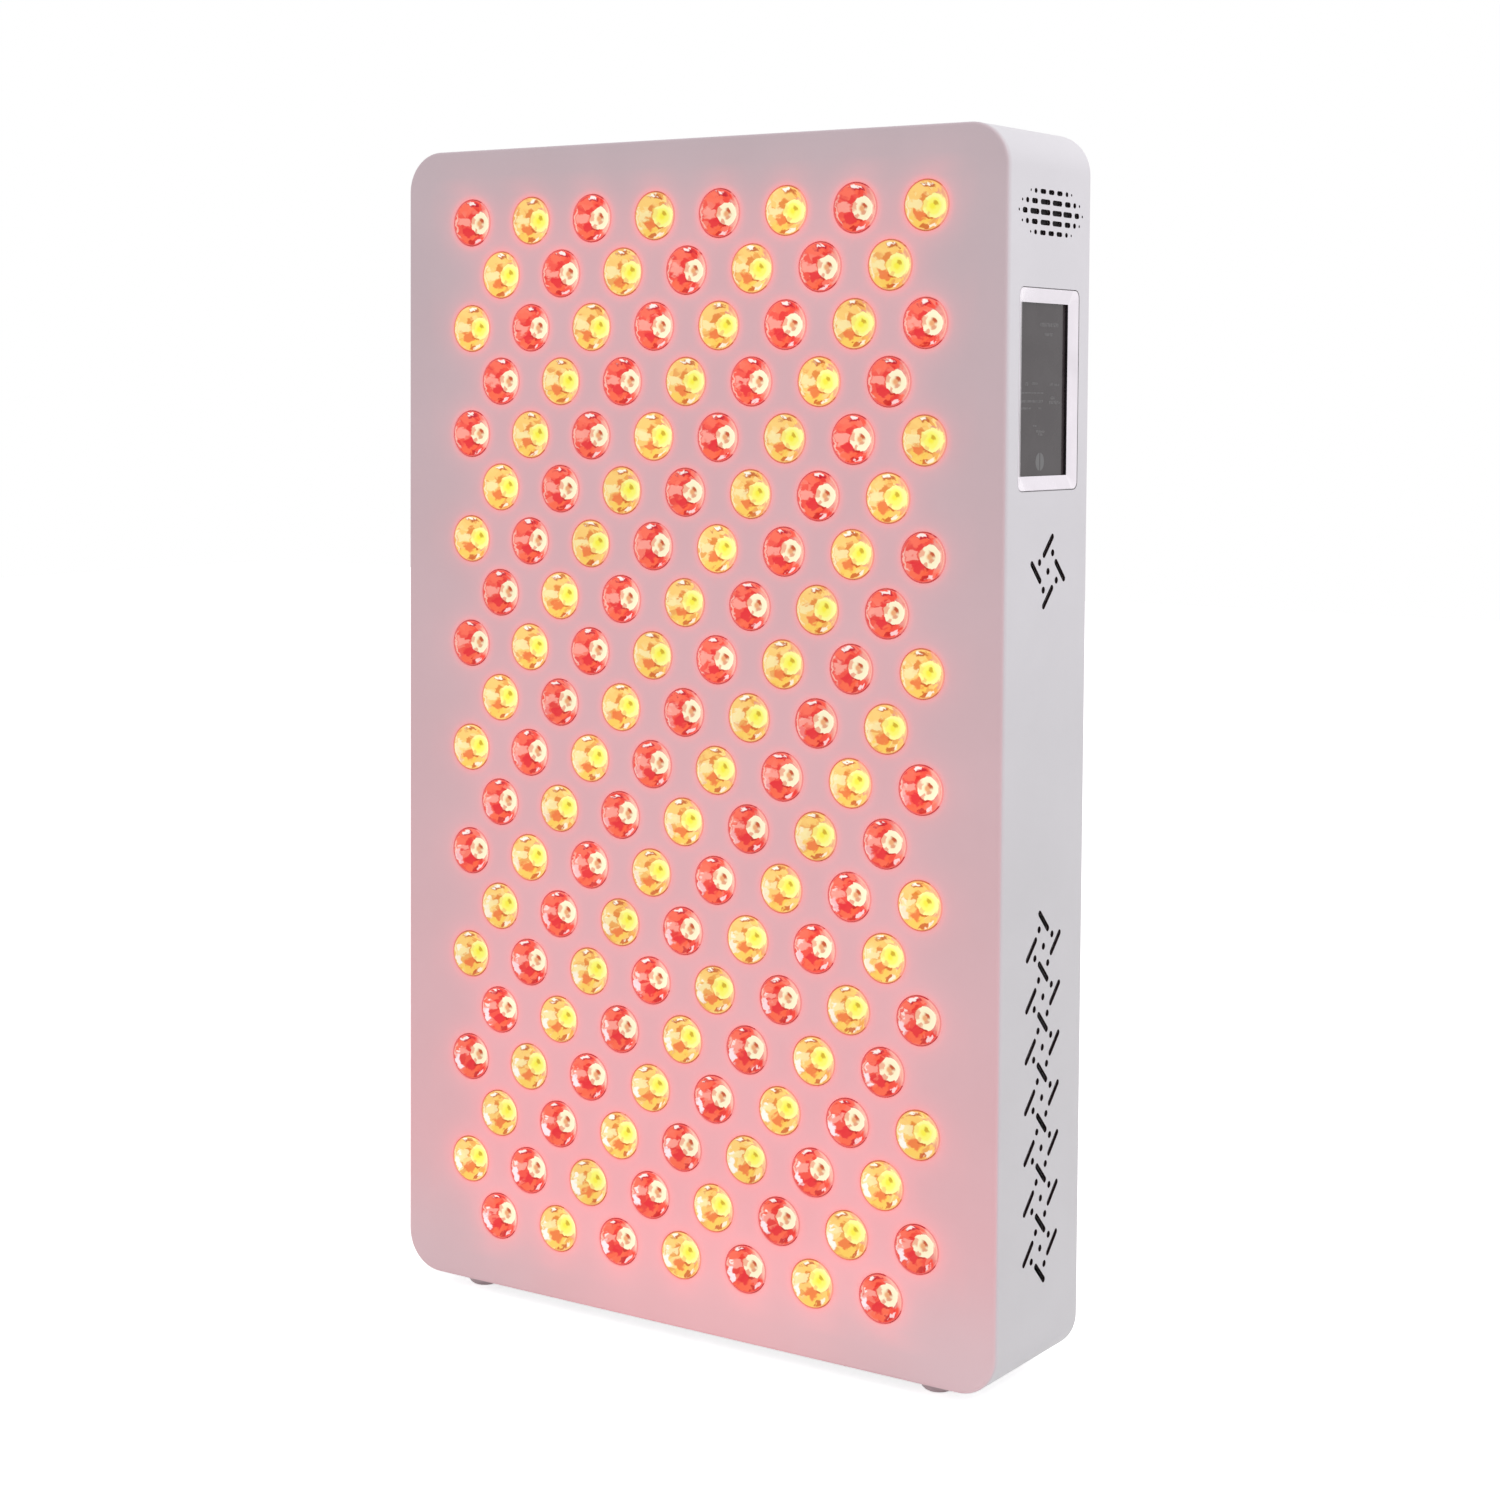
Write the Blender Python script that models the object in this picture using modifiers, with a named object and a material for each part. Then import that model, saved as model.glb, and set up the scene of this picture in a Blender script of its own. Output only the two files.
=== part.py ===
"""Red light therapy panel: a standing sheet-steel housing with lensed LEDs in its
front, a touch screen in its right side, two cooling fans and a fused mains inlet.

Metres, +Z up. The lit front looks towards -Y, and the origin is on the floor under the
middle of the housing.
"""

import math

import bmesh
import bpy
from mathutils import Matrix, Vector

# Housing
PANEL_WIDTH = 0.300
PANEL_HEIGHT = 0.500
PANEL_DEPTH = 0.070
SHEET = 0.0012
CORNER_RADIUS = 0.017
FRONT_EDGE_RADIUS = 0.0015
CORNER_STEPS = 6
FRONT_EDGE_STEPS = 2

# Clearance between pieces that touch, and how far a cutter runs past what it cuts
FIT_GAP = 0.0003
CUT_OVERRUN = 0.001
WELD_DISTANCE = 0.00001

# Feet
FOOT_HEIGHT = 0.005
FOOT_RADIUS = 0.009
FOOT_SOLE_RADIUS = 0.0065
FOOT_EDGE_HEIGHT = 0.002
FOOT_FROM_SIDE = 0.033
FOOT_FROM_FACE = 0.014
FOOT_STEPS = 12

# Lenses and LEDs, spread over the front between its margins
LENS_ROWS = 20
LENSES_IN_LONG_ROW = 8
LENS_SIDE_MARGIN = 0.0196
LENS_END_MARGIN = 0.0200
LENS_RADIUS = 0.0098
LENS_CROWN_RADIUS = 0.0074
LENS_RISE = 0.0013
LENS_SHEET_THICKNESS = 0.0015
LENS_SIDES = 8
ROWS_ON_BOARD = 4
BOARD_END_MARGIN = 0.0135
BOARD_SPLIT = 0.0006
BOARD_THICKNESS = 0.0016
EMITTER_SETBACK = 0.0075
EMITTER_SIZE = 0.0050
EMITTER_HEIGHT = 0.0015

# Vent cells: four slits round five holes
VENT_SLIT_LENGTH = 0.0120
VENT_SLIT_WIDTH = 0.0020
VENT_SLIT_ANGLE = math.radians(45)
VENT_HOLE_RADIUS = 0.00125
VENT_HOLE_REACH = 0.0082
VENT_HOLE_ANGLE = math.radians(62)
VENT_HOLE_SIDES = 4
VENT_PITCH = 0.0204
VENT_CELLS = 7
VENT_FROM_FRONT = 0.0368
VENT_STRIP_FROM_BOTTOM = 0.0522
SINGLE_VENT_BELOW_SCREEN = 0.0323

# Grille over the speaker: per row, the places and lengths of its slots to one side of
# the middle, as shares of the grille's half width
GRILLE_HALF_WIDTH = 0.0269
GRILLE_ROW_PITCH = 0.00403
GRILLE_SLOT_HEIGHT = 0.0016
GRILLE_FROM_FRONT = 0.0361
GRILLE_FROM_TOP = 0.0338
GRILLE_ROW_SHARES = {
    0: ((0.184, 0.290), (0.519, 0.268), (0.818, 0.140), (0.990, 0.040)),
    1: ((0.188, 0.292), (0.519, 0.171), (0.746, 0.082), (0.900, 0.040)),
    2: ((0.000, 0.165), (0.260, 0.165), (0.489, 0.082), (0.642, 0.040)),
}

# Screen
BEZEL_WIDTH = 0.0503
BEZEL_HEIGHT = 0.0794
BEZEL_CORNER_RADIUS = 0.003
BEZEL_CORNER_STEPS = 3
BEZEL_LAND = 0.0004
BEZEL_BORDER = 0.0056
BEZEL_SLOPE_DEPTH = 0.0020
BEZEL_LIP = 0.0015
BEZEL_FLANGE = 0.0014
SCREEN_FROM_FRONT = 0.0359
SCREEN_BELOW_GRILLE = 0.0298
GLASS_MARGIN = 0.0020
GLASS_THICKNESS = 0.0011
DISPLAY_THICKNESS = 0.0035
CONTROL_BOARD_THICKNESS = 0.0016
CONTROL_CHIP_HEIGHT = 0.0020
CONTROL_CHIP_SIZE = 0.0140
SCREEN_HOUSING_WALL = 0.0015

# Speaker
SPEAKER_LENGTH = 0.0500
SPEAKER_WIDTH = 0.0220
SPEAKER_DEPTH = 0.0050
SPEAKER_END_STEPS = 6
MAGNET_RADIUS = 0.0080
MAGNET_DEPTH = 0.0050
MAGNET_SIDES = 12

# Carrier plate, and heat sinks that fill the room between the drivers
CARRIER_THICKNESS = 0.0020
CARRIER_NOTCH_WIDTH = 0.0200
CARRIER_NOTCH_MARGIN = 0.0040
HEAT_SINK_SIDE_GAP = 0.0130
HEAT_SINK_LENGTH = 0.1300
HEAT_SINK_BASE = 0.0040
HEAT_SINK_FIN_HEIGHT = 0.0200
HEAT_SINK_FIN_THICKNESS = 0.0018
HEAT_SINK_FINS = 13

# Fans, at the heights of the heat sinks above and below the panel's middle
FAN_UPPER_RISE = 0.0950
FAN_LOWER_DROP = 0.0750
FAN_RISES = {"upper": FAN_UPPER_RISE, "lower": -FAN_LOWER_DROP}
FAN_SIZE = 0.0920
FAN_DEPTH = 0.0250
FAN_CORNER_RADIUS = 0.0040
FAN_CORNER_STEPS = 2
FAN_BORE_RADIUS = 0.0440
FAN_BORE_STEPS = 24
FAN_SCREW_SPACING = 0.0825
FAN_BASE_RADIUS = 0.0190
FAN_BASE_THICKNESS = 0.0030
FAN_BASE_STEPS = 12
FAN_STRUT_WIDTH = 0.0040
FAN_SHAFT_RADIUS = 0.0020
FAN_SHAFT_LENGTH = 0.0170
FAN_SHAFT_STEPS = 8
ROTOR_HUB_RADIUS = 0.0180
ROTOR_HUB_LENGTH = 0.0190
ROTOR_HUB_STEPS = 14
ROTOR_BASE_CLEARANCE = 0.0006
ROTOR_TIP_RADIUS = 0.0420
ROTOR_BLADES = 7
ROTOR_BLADE_CHORD = 0.0200
ROTOR_BLADE_THICKNESS = 0.0012
ROTOR_BLADE_PITCH = math.radians(38)
ROTOR_BLADE_ROOT = 0.0020

# Guards punched in the rear cover, in front of the fans
GUARD_SLOT_WIDTH = 0.0055
GUARD_RIB = 0.0025
GUARD_FIRST_RADIUS = 0.0140
GUARD_RINGS = 4
GUARD_ARCS = 4
GUARD_SPOKE = 0.0045
GUARD_ARC_STEPS = 4

# LED drivers and the auxiliary supply: two drivers on the left, and the third on the
# right, between the inlet and the supply
DRIVER_WIDTH = 0.0520
DRIVER_END_MARGIN = 0.0475
DRIVER_SPLIT = 0.0250
DRIVER_DEPTH = 0.0300
DRIVER_TAB = 0.0080
DRIVER_TAB_THICKNESS = 0.0015
DRIVER_EDGE_CUT = 0.0020
DRIVER_SIDE_GAP = 0.0088
DRIVER_ABOVE_INLET = 0.0260
SUPPLY_WIDTH = 0.0400
SUPPLY_LENGTH = 0.0300
SUPPLY_DEPTH = 0.0180
SUPPLY_ABOVE_DRIVER = 0.0200

# Rear cover, its rails and its screws
COVER_EDGE_GAP = 0.0005
RAIL_WIDTH = 0.0120
RAIL_DEPTH = 0.0050
RAIL_THICKNESS = 0.0012
RAIL_END_GAP = 0.0230
COVER_SCREW_INSET = 0.0080
COVER_SCREW_FROM_CORNER = 0.0430
SCREW_HEAD_RADIUS = 0.0028
SCREW_HEAD_CROWN_RADIUS = 0.0018
SCREW_HEAD_HEIGHT = 0.0018
SCREW_SHANK_RADIUS = 0.0015
COVER_SCREW_LENGTH = 0.0060
FAN_SCREW_LENGTH = 0.0100
SCREW_SIDES = 6
KEYHOLE_FROM_SIDE = 0.0500
KEYHOLE_FROM_TOP = 0.0500
KEYHOLE_RADIUS = 0.0050
KEYHOLE_NECK_RADIUS = 0.0026
KEYHOLE_NECK_LENGTH = 0.0100
KEYHOLE_STEPS = 8

# Mains inlet: a housing with the socket, the fuse drawer and the rocker in one column
INLET_FROM_SIDE = 0.0500
INLET_FROM_BOTTOM = 0.0550
INLET_BODY_WIDTH = 0.0272
INLET_BODY_HEIGHT = 0.0480
INLET_BODY_DEPTH = 0.0290
INLET_FLANGE = 0.0020
INLET_FLANGE_MARGIN = 0.0022
INLET_CORNER_RADIUS = 0.0020
INLET_CORNER_STEPS = 2
SOCKET_WIDTH = 0.0240
SOCKET_HEIGHT = 0.0165
SOCKET_DEPTH = 0.0170
SOCKET_DROP = 0.0128
PIN_WIDTH = 0.0020
PIN_HEIGHT = 0.0040
PIN_REACH = 0.0125
PIN_TAIL = 0.0180
PIN_SPACING = 0.0070
PIN_OUTER_DROP = 0.0015
PIN_EARTH_RISE = 0.0025
DRAWER_WIDTH = 0.0210
DRAWER_HEIGHT = 0.0062
DRAWER_DEPTH = 0.0220
DRAWER_RISE = 0.0022
DRAWER_LIP = 0.0010
DRAWER_LIP_OVERHANG = 0.0008
ROCKER_HEIGHT = 0.0104
ROCKER_RISE = 0.0152
ROCKER_HALF_LENGTH = 0.0088
ROCKER_SHOULDER = 0.0044
ROCKER_DISH = 0.0012
ROCKER_KEEL = 0.0060
ROCKER_KEEL_DEPTH = 0.0040
ROCKER_PIVOT_DEPTH = 0.0030
ROCKER_TILT = math.radians(10)
ROCKER_POCKET_DEPTH = 0.0100

# Mains lead inside the housing, from the inlet to the lower right driver
LEAD_RADIUS = 0.0030
LEAD_ROUNDING = 1
LEAD_POINTS = 14

# Places that follow from the sizes above
FRONT_Y = -PANEL_DEPTH / 2
BACK_Y = PANEL_DEPTH / 2
BASE_Z = FOOT_HEIGHT + FIT_GAP
MID_Z = BASE_Z + PANEL_HEIGHT / 2
SIDE_X = PANEL_WIDTH / 2
INNER_X = SIDE_X - SHEET
COVER_FRONT_Y = BACK_Y - SHEET
RAIL_BACK_Y = COVER_FRONT_Y - FIT_GAP
EMITTER_Y = FRONT_Y + EMITTER_SETBACK
BOARD_FRONT_Y = EMITTER_Y + EMITTER_HEIGHT
CARRIER_FRONT_Y = BOARD_FRONT_Y + BOARD_THICKNESS + FIT_GAP
CARRIER_BACK_Y = CARRIER_FRONT_Y + CARRIER_THICKNESS
FAN_BACK_Y = COVER_FRONT_Y - FIT_GAP
LENS_COLUMN_PITCH = (PANEL_WIDTH - 2 * LENS_SIDE_MARGIN) / LENSES_IN_LONG_ROW
LENS_ROW_PITCH = (PANEL_HEIGHT - 2 * LENS_END_MARGIN) / LENS_ROWS
BOARD_WIDTH = (LENSES_IN_LONG_ROW - 1) * LENS_COLUMN_PITCH + 2 * BOARD_END_MARGIN
BOARD_HEIGHT = ROWS_ON_BOARD * LENS_ROW_PITCH - BOARD_SPLIT
BOARD_COUNT = LENS_ROWS // ROWS_ON_BOARD
GRILLE_Z = BASE_Z + PANEL_HEIGHT - GRILLE_FROM_TOP
SCREEN_Y = FRONT_Y + SCREEN_FROM_FRONT
SCREEN_Z = GRILLE_Z - SCREEN_BELOW_GRILLE - BEZEL_HEIGHT / 2
SINGLE_VENT_Z = SCREEN_Z - BEZEL_HEIGHT / 2 - SINGLE_VENT_BELOW_SCREEN
INLET_X = SIDE_X - INLET_FROM_SIDE
INLET_Z = BASE_Z + INLET_FROM_BOTTOM
KEYHOLE_X = SIDE_X - KEYHOLE_FROM_SIDE
KEYHOLE_Z = BASE_Z + PANEL_HEIGHT - KEYHOLE_FROM_TOP
DRIVER_X = INNER_X - DRIVER_SIDE_GAP - DRIVER_WIDTH / 2
DRIVER_LENGTH = (PANEL_HEIGHT - 2 * DRIVER_END_MARGIN - DRIVER_SPLIT) / 2
DRIVER_LEFT_RISE = (DRIVER_LENGTH + DRIVER_SPLIT) / 2
DRIVER_RIGHT_Z = INLET_Z + INLET_BODY_HEIGHT / 2 + DRIVER_ABOVE_INLET + DRIVER_LENGTH / 2
SUPPLY_Z = DRIVER_RIGHT_Z + (DRIVER_LENGTH + SUPPLY_LENGTH) / 2 + SUPPLY_ABOVE_DRIVER
HEAT_SINK_WIDTH = 2 * (DRIVER_X - DRIVER_WIDTH / 2 - HEAT_SINK_SIDE_GAP)

# Turns that stand a sheet drawn in XY upright: in the plane of the front, with its
# thickness along Y, or in the plane of a side, with its thickness along X
UPRIGHT = (math.pi / 2, 0, 0)
SIDEWAYS = (math.pi / 2, 0, math.pi / 2)
FACING_BACK = (-math.pi / 2, 0, 0)
ACROSS = (0, -math.pi / 2, 0)
FLAT = (0, 0, 0)

for leftover in list(bpy.data.objects):
    bpy.data.objects.remove(leftover, do_unlink=True)

parts = bpy.data.collections.new("red_light_panel")
cutters = bpy.data.collections.new("cutters")
for group in (parts, cutters):
    bpy.context.scene.collection.children.link(group)


def surface(name, colour, roughness, metallic=0.0):
    """A Principled finish."""
    made = bpy.data.materials.new(name)
    made.use_nodes = True
    shader = made.node_tree.nodes["Principled BSDF"]
    shader.inputs["Base Color"].default_value = (*colour, 1.0)
    shader.inputs["Roughness"].default_value = roughness
    shader.inputs["Metallic"].default_value = metallic
    return made


def piece(name, mesh, place, finish, turn=FLAT):
    """A piece of the panel."""
    made = bpy.data.objects.new(name, mesh)
    made.location = place
    made.rotation_euler = turn
    mesh.materials.append(finish)
    parts.objects.link(made)
    return made


def guide(name, mesh, place, turn=FLAT):
    """A shape that cuts or joins a piece and isn't one itself."""
    made = bpy.data.objects.new(name, mesh)
    made.location = place
    made.rotation_euler = turn
    made.hide_render = True
    made.display_type = "WIRE"
    cutters.objects.link(made)
    return made


def cut(target, tool):
    change = target.modifiers.new(tool.name, "BOOLEAN")
    change.operation = "DIFFERENCE"
    change.object = tool


def join(target, other):
    change = target.modifiers.new(other.name, "BOOLEAN")
    change.operation = "UNION"
    change.object = other


def finished_mesh(name, builder):
    mesh = bpy.data.meshes.new(name)
    builder.to_mesh(mesh)
    builder.free()
    return mesh


def block_mesh(width, depth, height):
    """A box about its own middle."""
    builder = bmesh.new()
    bmesh.ops.create_cube(builder, size=1.0)
    bmesh.ops.scale(builder, vec=(width, depth, height), verts=builder.verts)
    return finished_mesh("block", builder)


def rod_mesh(radius, length, sides):
    """A cylinder along Z about its own middle."""
    builder = bmesh.new()
    bmesh.ops.create_cone(
        builder, cap_ends=True, segments=sides, radius1=radius, radius2=radius, depth=length
    )
    return finished_mesh("rod", builder)


def sheet_mesh(outlines, thickness):
    """A flat sheet in XY, with any holes as inner outlines, welded into a mesh."""
    curve = bpy.data.curves.new("sheet", "CURVE")
    curve.dimensions = "2D"
    curve.fill_mode = "BOTH"
    curve.extrude = thickness / 2
    for outline in outlines:
        spline = curve.splines.new("POLY")
        spline.points.add(len(outline) - 1)
        spline.use_cyclic_u = True
        for point, (x, y) in zip(spline.points, outline):
            point.co = (x, y, 0, 1)
    drawing = bpy.data.objects.new("sheet", curve)
    cutters.objects.link(drawing)
    graph = bpy.context.evaluated_depsgraph_get()
    mesh = bpy.data.meshes.new_from_object(drawing.evaluated_get(graph))
    bpy.data.objects.remove(drawing, do_unlink=True)
    bpy.data.curves.remove(curve)
    builder = bmesh.new()
    builder.from_mesh(mesh)
    bmesh.ops.remove_doubles(builder, verts=builder.verts, dist=WELD_DISTANCE)
    bmesh.ops.recalc_face_normals(builder, faces=builder.faces)
    builder.to_mesh(mesh)
    builder.free()
    return mesh


def turned_mesh(profile, closed=False):
    """The half outline (radius, height) that a Screw modifier turns about Z."""
    mesh = bpy.data.meshes.new("profile")
    count = len(profile)
    links = [(i, i + 1) for i in range(count - 1)]
    if closed:
        links.append((count - 1, 0))
    mesh.from_pydata([(radius, 0, height) for radius, height in profile], links, [])
    return mesh


def turn_profile(target, steps):
    change = target.modifiers.new("turn", "SCREW")
    change.steps = steps
    change.render_steps = steps
    change.use_merge_vertices = True
    change.merge_threshold = WELD_DISTANCE
    change.use_smooth_shade = True


def circle(x, y, radius, steps, turn=0.0):
    angles = [turn + 2 * math.pi * i / steps for i in range(steps)]
    return [(x + radius * math.cos(a), y + radius * math.sin(a)) for a in angles]


def rectangle(x, y, width, height, turn=0.0):
    """A rectangle about (x, y), turned by an angle."""
    corners = ((-1, -1), (1, -1), (1, 1), (-1, 1))
    spin = Matrix.Rotation(turn, 2)
    offsets = [spin @ Vector((u * width / 2, v * height / 2)) for u, v in corners]
    return [(x + offset.x, y + offset.y) for offset in offsets]


def rounded_rectangle(x, y, width, height, radius, steps):
    """A rectangle about (x, y) with a round arc at each corner."""
    outline = []
    for quarter, (u, v) in enumerate(((1, 1), (-1, 1), (-1, -1), (1, -1))):
        for i in range(steps + 1):
            angle = (quarter + i / steps) * math.pi / 2
            outline.append(
                (
                    x + u * (width / 2 - radius) + radius * math.cos(angle),
                    y + v * (height / 2 - radius) + radius * math.sin(angle),
                )
            )
    return outline


def mirrored(outline):
    return [(-x, y) for x, y in outline]


def lens_places(rows):
    """The (x, z) of each lens in some rows; every second row is one lens shorter."""
    places = []
    for row in rows:
        count = LENSES_IN_LONG_ROW - row % 2
        z = MID_Z + ((LENS_ROWS - 1) / 2 - row) * LENS_ROW_PITCH
        places += [((i - (count - 1) / 2) * LENS_COLUMN_PITCH, z) for i in range(count)]
    return places


def vent_cell(y, z, hand, slit_sides):
    """Slits above, below and beside a middle hole, with four holes in the gaps."""
    arm = VENT_PITCH / 2
    angle = {"above": 1, "below": 1, "left": -1, "right": -1}
    reach = {"above": (0, arm), "below": (0, -arm), "left": (-arm, 0), "right": (arm, 0)}
    outlines = [
        rectangle(
            y + reach[side][0],
            z + reach[side][1],
            VENT_SLIT_LENGTH,
            VENT_SLIT_WIDTH,
            hand * angle[side] * VENT_SLIT_ANGLE,
        )
        for side in slit_sides
    ]
    outlines.append(circle(y, z, VENT_HOLE_RADIUS, VENT_HOLE_SIDES))
    for quarter in range(4):
        turn = VENT_HOLE_ANGLE + quarter * math.pi / 2
        hole_y = y + hand * VENT_HOLE_REACH * math.cos(turn)
        hole_z = z + VENT_HOLE_REACH * math.sin(turn)
        outlines.append(circle(hole_y, hole_z, VENT_HOLE_RADIUS, VENT_HOLE_SIDES))
    return outlines


def vent_strip():
    """The column of vent cells low on each side, each sharing a slit with the next."""
    outlines = []
    y = FRONT_Y + VENT_FROM_FRONT
    for cell in range(VENT_CELLS):
        z = BASE_Z + VENT_STRIP_FROM_BOTTOM + cell * VENT_PITCH
        outlines += vent_cell(y, z, -1, ("above", "left", "right"))
    foot_z = BASE_Z + VENT_STRIP_FROM_BOTTOM - VENT_PITCH / 2
    outlines.append(
        rectangle(y, foot_z, VENT_SLIT_LENGTH, VENT_SLIT_WIDTH, -VENT_SLIT_ANGLE)
    )
    return outlines


def speaker_grille():
    """Rows of slots that shorten towards the ends of an oval."""
    outlines = []
    for row in range(-2, 3):
        z = GRILLE_Z + row * GRILLE_ROW_PITCH
        for place_share, length_share in GRILLE_ROW_SHARES[abs(row)]:
            for side in (-1, 1) if place_share else (1,):
                y = FRONT_Y + GRILLE_FROM_FRONT + side * place_share * GRILLE_HALF_WIDTH
                length = length_share * GRILLE_HALF_WIDTH
                outlines.append(rectangle(y, z, length, GRILLE_SLOT_HEIGHT))
    return outlines


def make_front_shell():
    """The folded front and sides, open at the back."""
    builder = bmesh.new()
    bmesh.ops.create_cube(builder, size=1.0)
    bmesh.ops.scale(builder, vec=(PANEL_WIDTH, PANEL_DEPTH, PANEL_HEIGHT), verts=builder.verts)
    back = max(builder.faces, key=lambda face: face.calc_center_median().y)
    bmesh.ops.delete(builder, geom=[back], context="FACES_ONLY")
    corners = [
        edge for edge in builder.edges if edge.verts[0].co.y * edge.verts[1].co.y < 0
    ]
    bmesh.ops.bevel(
        builder,
        geom=corners,
        offset=CORNER_RADIUS,
        segments=CORNER_STEPS,
        profile=0.5,
        affect="EDGES",
    )
    front = min(builder.faces, key=lambda face: face.calc_center_median().y)
    bmesh.ops.bevel(
        builder,
        geom=list(front.edges),
        offset=FRONT_EDGE_RADIUS,
        segments=FRONT_EDGE_STEPS,
        profile=0.5,
        affect="EDGES",
    )
    mesh = finished_mesh("front_shell", builder)
    white = surface("white_powder_coat", (0.82, 0.80, 0.82), 0.45)
    shell = piece("front_shell", mesh, (0, 0, MID_Z), white)
    wall = shell.modifiers.new("sheet", "SOLIDIFY")
    wall.thickness = SHEET
    wall.offset = -1

    reach = SHEET + 2 * CUT_OVERRUN
    hole = LENS_RADIUS + FIT_GAP
    holes = [circle(x, z, hole, LENS_SIDES) for x, z in lens_places(range(LENS_ROWS))]
    tool = guide(
        "lens_holes", sheet_mesh(holes, reach), (0, FRONT_Y + SHEET / 2, 0), UPRIGHT
    )
    cut(shell, tool)

    y = FRONT_Y + VENT_FROM_FRONT
    single = vent_cell(y, SINGLE_VENT_Z, 1, ("above", "below", "left", "right"))
    screen = rounded_rectangle(
        SCREEN_Y,
        SCREEN_Z,
        BEZEL_WIDTH + 2 * FIT_GAP,
        BEZEL_HEIGHT + 2 * FIT_GAP,
        BEZEL_CORNER_RADIUS + FIT_GAP,
        BEZEL_CORNER_STEPS,
    )
    right = sheet_mesh(speaker_grille() + single + vent_strip() + [screen], reach)
    cut(shell, guide("right_openings", right, (SIDE_X - SHEET / 2, 0, 0), SIDEWAYS))
    left = sheet_mesh(vent_strip(), reach)
    cut(shell, guide("left_openings", left, (SHEET / 2 - SIDE_X, 0, 0), SIDEWAYS))


def make_feet():
    rubber = surface("foot_rubber", (0.42, 0.36, 0.37), 0.7)
    profile = (
        (0, FOOT_HEIGHT),
        (FOOT_RADIUS, FOOT_HEIGHT),
        (FOOT_RADIUS, FOOT_EDGE_HEIGHT),
        (FOOT_SOLE_RADIUS, 0),
        (0, 0),
    )
    for end, y in (("front", FRONT_Y + FOOT_FROM_FACE), ("rear", BACK_Y - FOOT_FROM_FACE)):
        for side, x in (("left", FOOT_FROM_SIDE - SIDE_X), ("right", SIDE_X - FOOT_FROM_SIDE)):
            foot = piece(f"foot_{end}_{side}", turned_mesh(profile), (x, y, 0), rubber)
            turn_profile(foot, FOOT_STEPS)


def make_light_boards():
    """Five boards from the top down, each with its LEDs and the lens sheet over them."""
    clear = surface("lens_acrylic", (0.95, 0.55, 0.45), 0.1)
    board_white = surface("board_solder_mask", (0.85, 0.85, 0.83), 0.4)
    lens_front = FRONT_Y + SHEET + FIT_GAP
    bury = LENS_SHEET_THICKNESS / 2
    dome_length = lens_front + bury - (FRONT_Y - LENS_RISE)
    for number in range(1, BOARD_COUNT + 1):
        rows = range((number - 1) * ROWS_ON_BOARD, number * ROWS_ON_BOARD)
        z = MID_Z + ((LENS_ROWS - 1) / 2 - (rows[0] + rows[-1]) / 2) * LENS_ROW_PITCH
        spots = lens_places(rows)
        sheet = block_mesh(BOARD_WIDTH, LENS_SHEET_THICKNESS, BOARD_HEIGHT)
        place = (0, lens_front + LENS_SHEET_THICKNESS / 2, z)
        lenses = piece(f"lens_sheet_{number}", sheet, place, clear)
        domes = bmesh.new()
        emitters = bmesh.new()
        for x, lens_z in spots:
            there = Matrix.Translation((x, lens_front + bury - dome_length / 2, lens_z))
            bmesh.ops.create_cone(
                domes,
                cap_ends=True,
                segments=LENS_SIDES,
                radius1=LENS_RADIUS,
                radius2=LENS_CROWN_RADIUS,
                depth=dome_length,
                matrix=there @ Matrix.Rotation(math.pi / 2, 4, "X")
                @ Matrix.Rotation(math.pi / 2, 4, "Z"),
            )
            seat = Matrix.Translation((x, EMITTER_Y + EMITTER_HEIGHT, lens_z))
            size = Matrix.Diagonal((EMITTER_SIZE, 2 * EMITTER_HEIGHT, EMITTER_SIZE, 1))
            bmesh.ops.create_cube(emitters, size=1.0, matrix=seat @ size)
        join(lenses, guide(f"lens_domes_{number}", finished_mesh("domes", domes), (0, 0, 0)))
        board = piece(
            f"led_board_{number}",
            block_mesh(BOARD_WIDTH, BOARD_THICKNESS, BOARD_HEIGHT),
            (0, BOARD_FRONT_Y + BOARD_THICKNESS / 2, z),
            board_white,
        )
        join(board, guide(f"leds_{number}", finished_mesh("leds", emitters), (0, 0, 0)))


def make_carrier_plate():
    """The aluminium plate across the housing that carries boards, sinks and drivers."""
    outline = rounded_rectangle(
        0,
        MID_Z,
        PANEL_WIDTH - 2 * (SHEET + FIT_GAP),
        PANEL_HEIGHT - 2 * (SHEET + FIT_GAP),
        CORNER_RADIUS - SHEET - FIT_GAP,
        CORNER_STEPS,
    )
    aluminium = surface("carrier_aluminium", (0.70, 0.71, 0.72), 0.35, 1.0)
    plate = piece(
        "carrier_plate",
        sheet_mesh([outline], CARRIER_THICKNESS),
        (0, CARRIER_FRONT_Y + CARRIER_THICKNESS / 2, 0),
        aluminium,
        UPRIGHT,
    )
    notch_low = SCREEN_Z - BEZEL_HEIGHT / 2 - CARRIER_NOTCH_MARGIN
    notch_high = GRILLE_Z + SPEAKER_WIDTH / 2 + CARRIER_NOTCH_MARGIN
    notch = block_mesh(
        CARRIER_NOTCH_WIDTH + CUT_OVERRUN,
        CARRIER_THICKNESS + 2 * CUT_OVERRUN,
        notch_high - notch_low,
    )
    middle = SIDE_X - (CARRIER_NOTCH_WIDTH - CUT_OVERRUN) / 2
    place = (middle, CARRIER_FRONT_Y + CARRIER_THICKNESS / 2, (notch_low + notch_high) / 2)
    cut(plate, guide("carrier_notch", notch, place))


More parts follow.
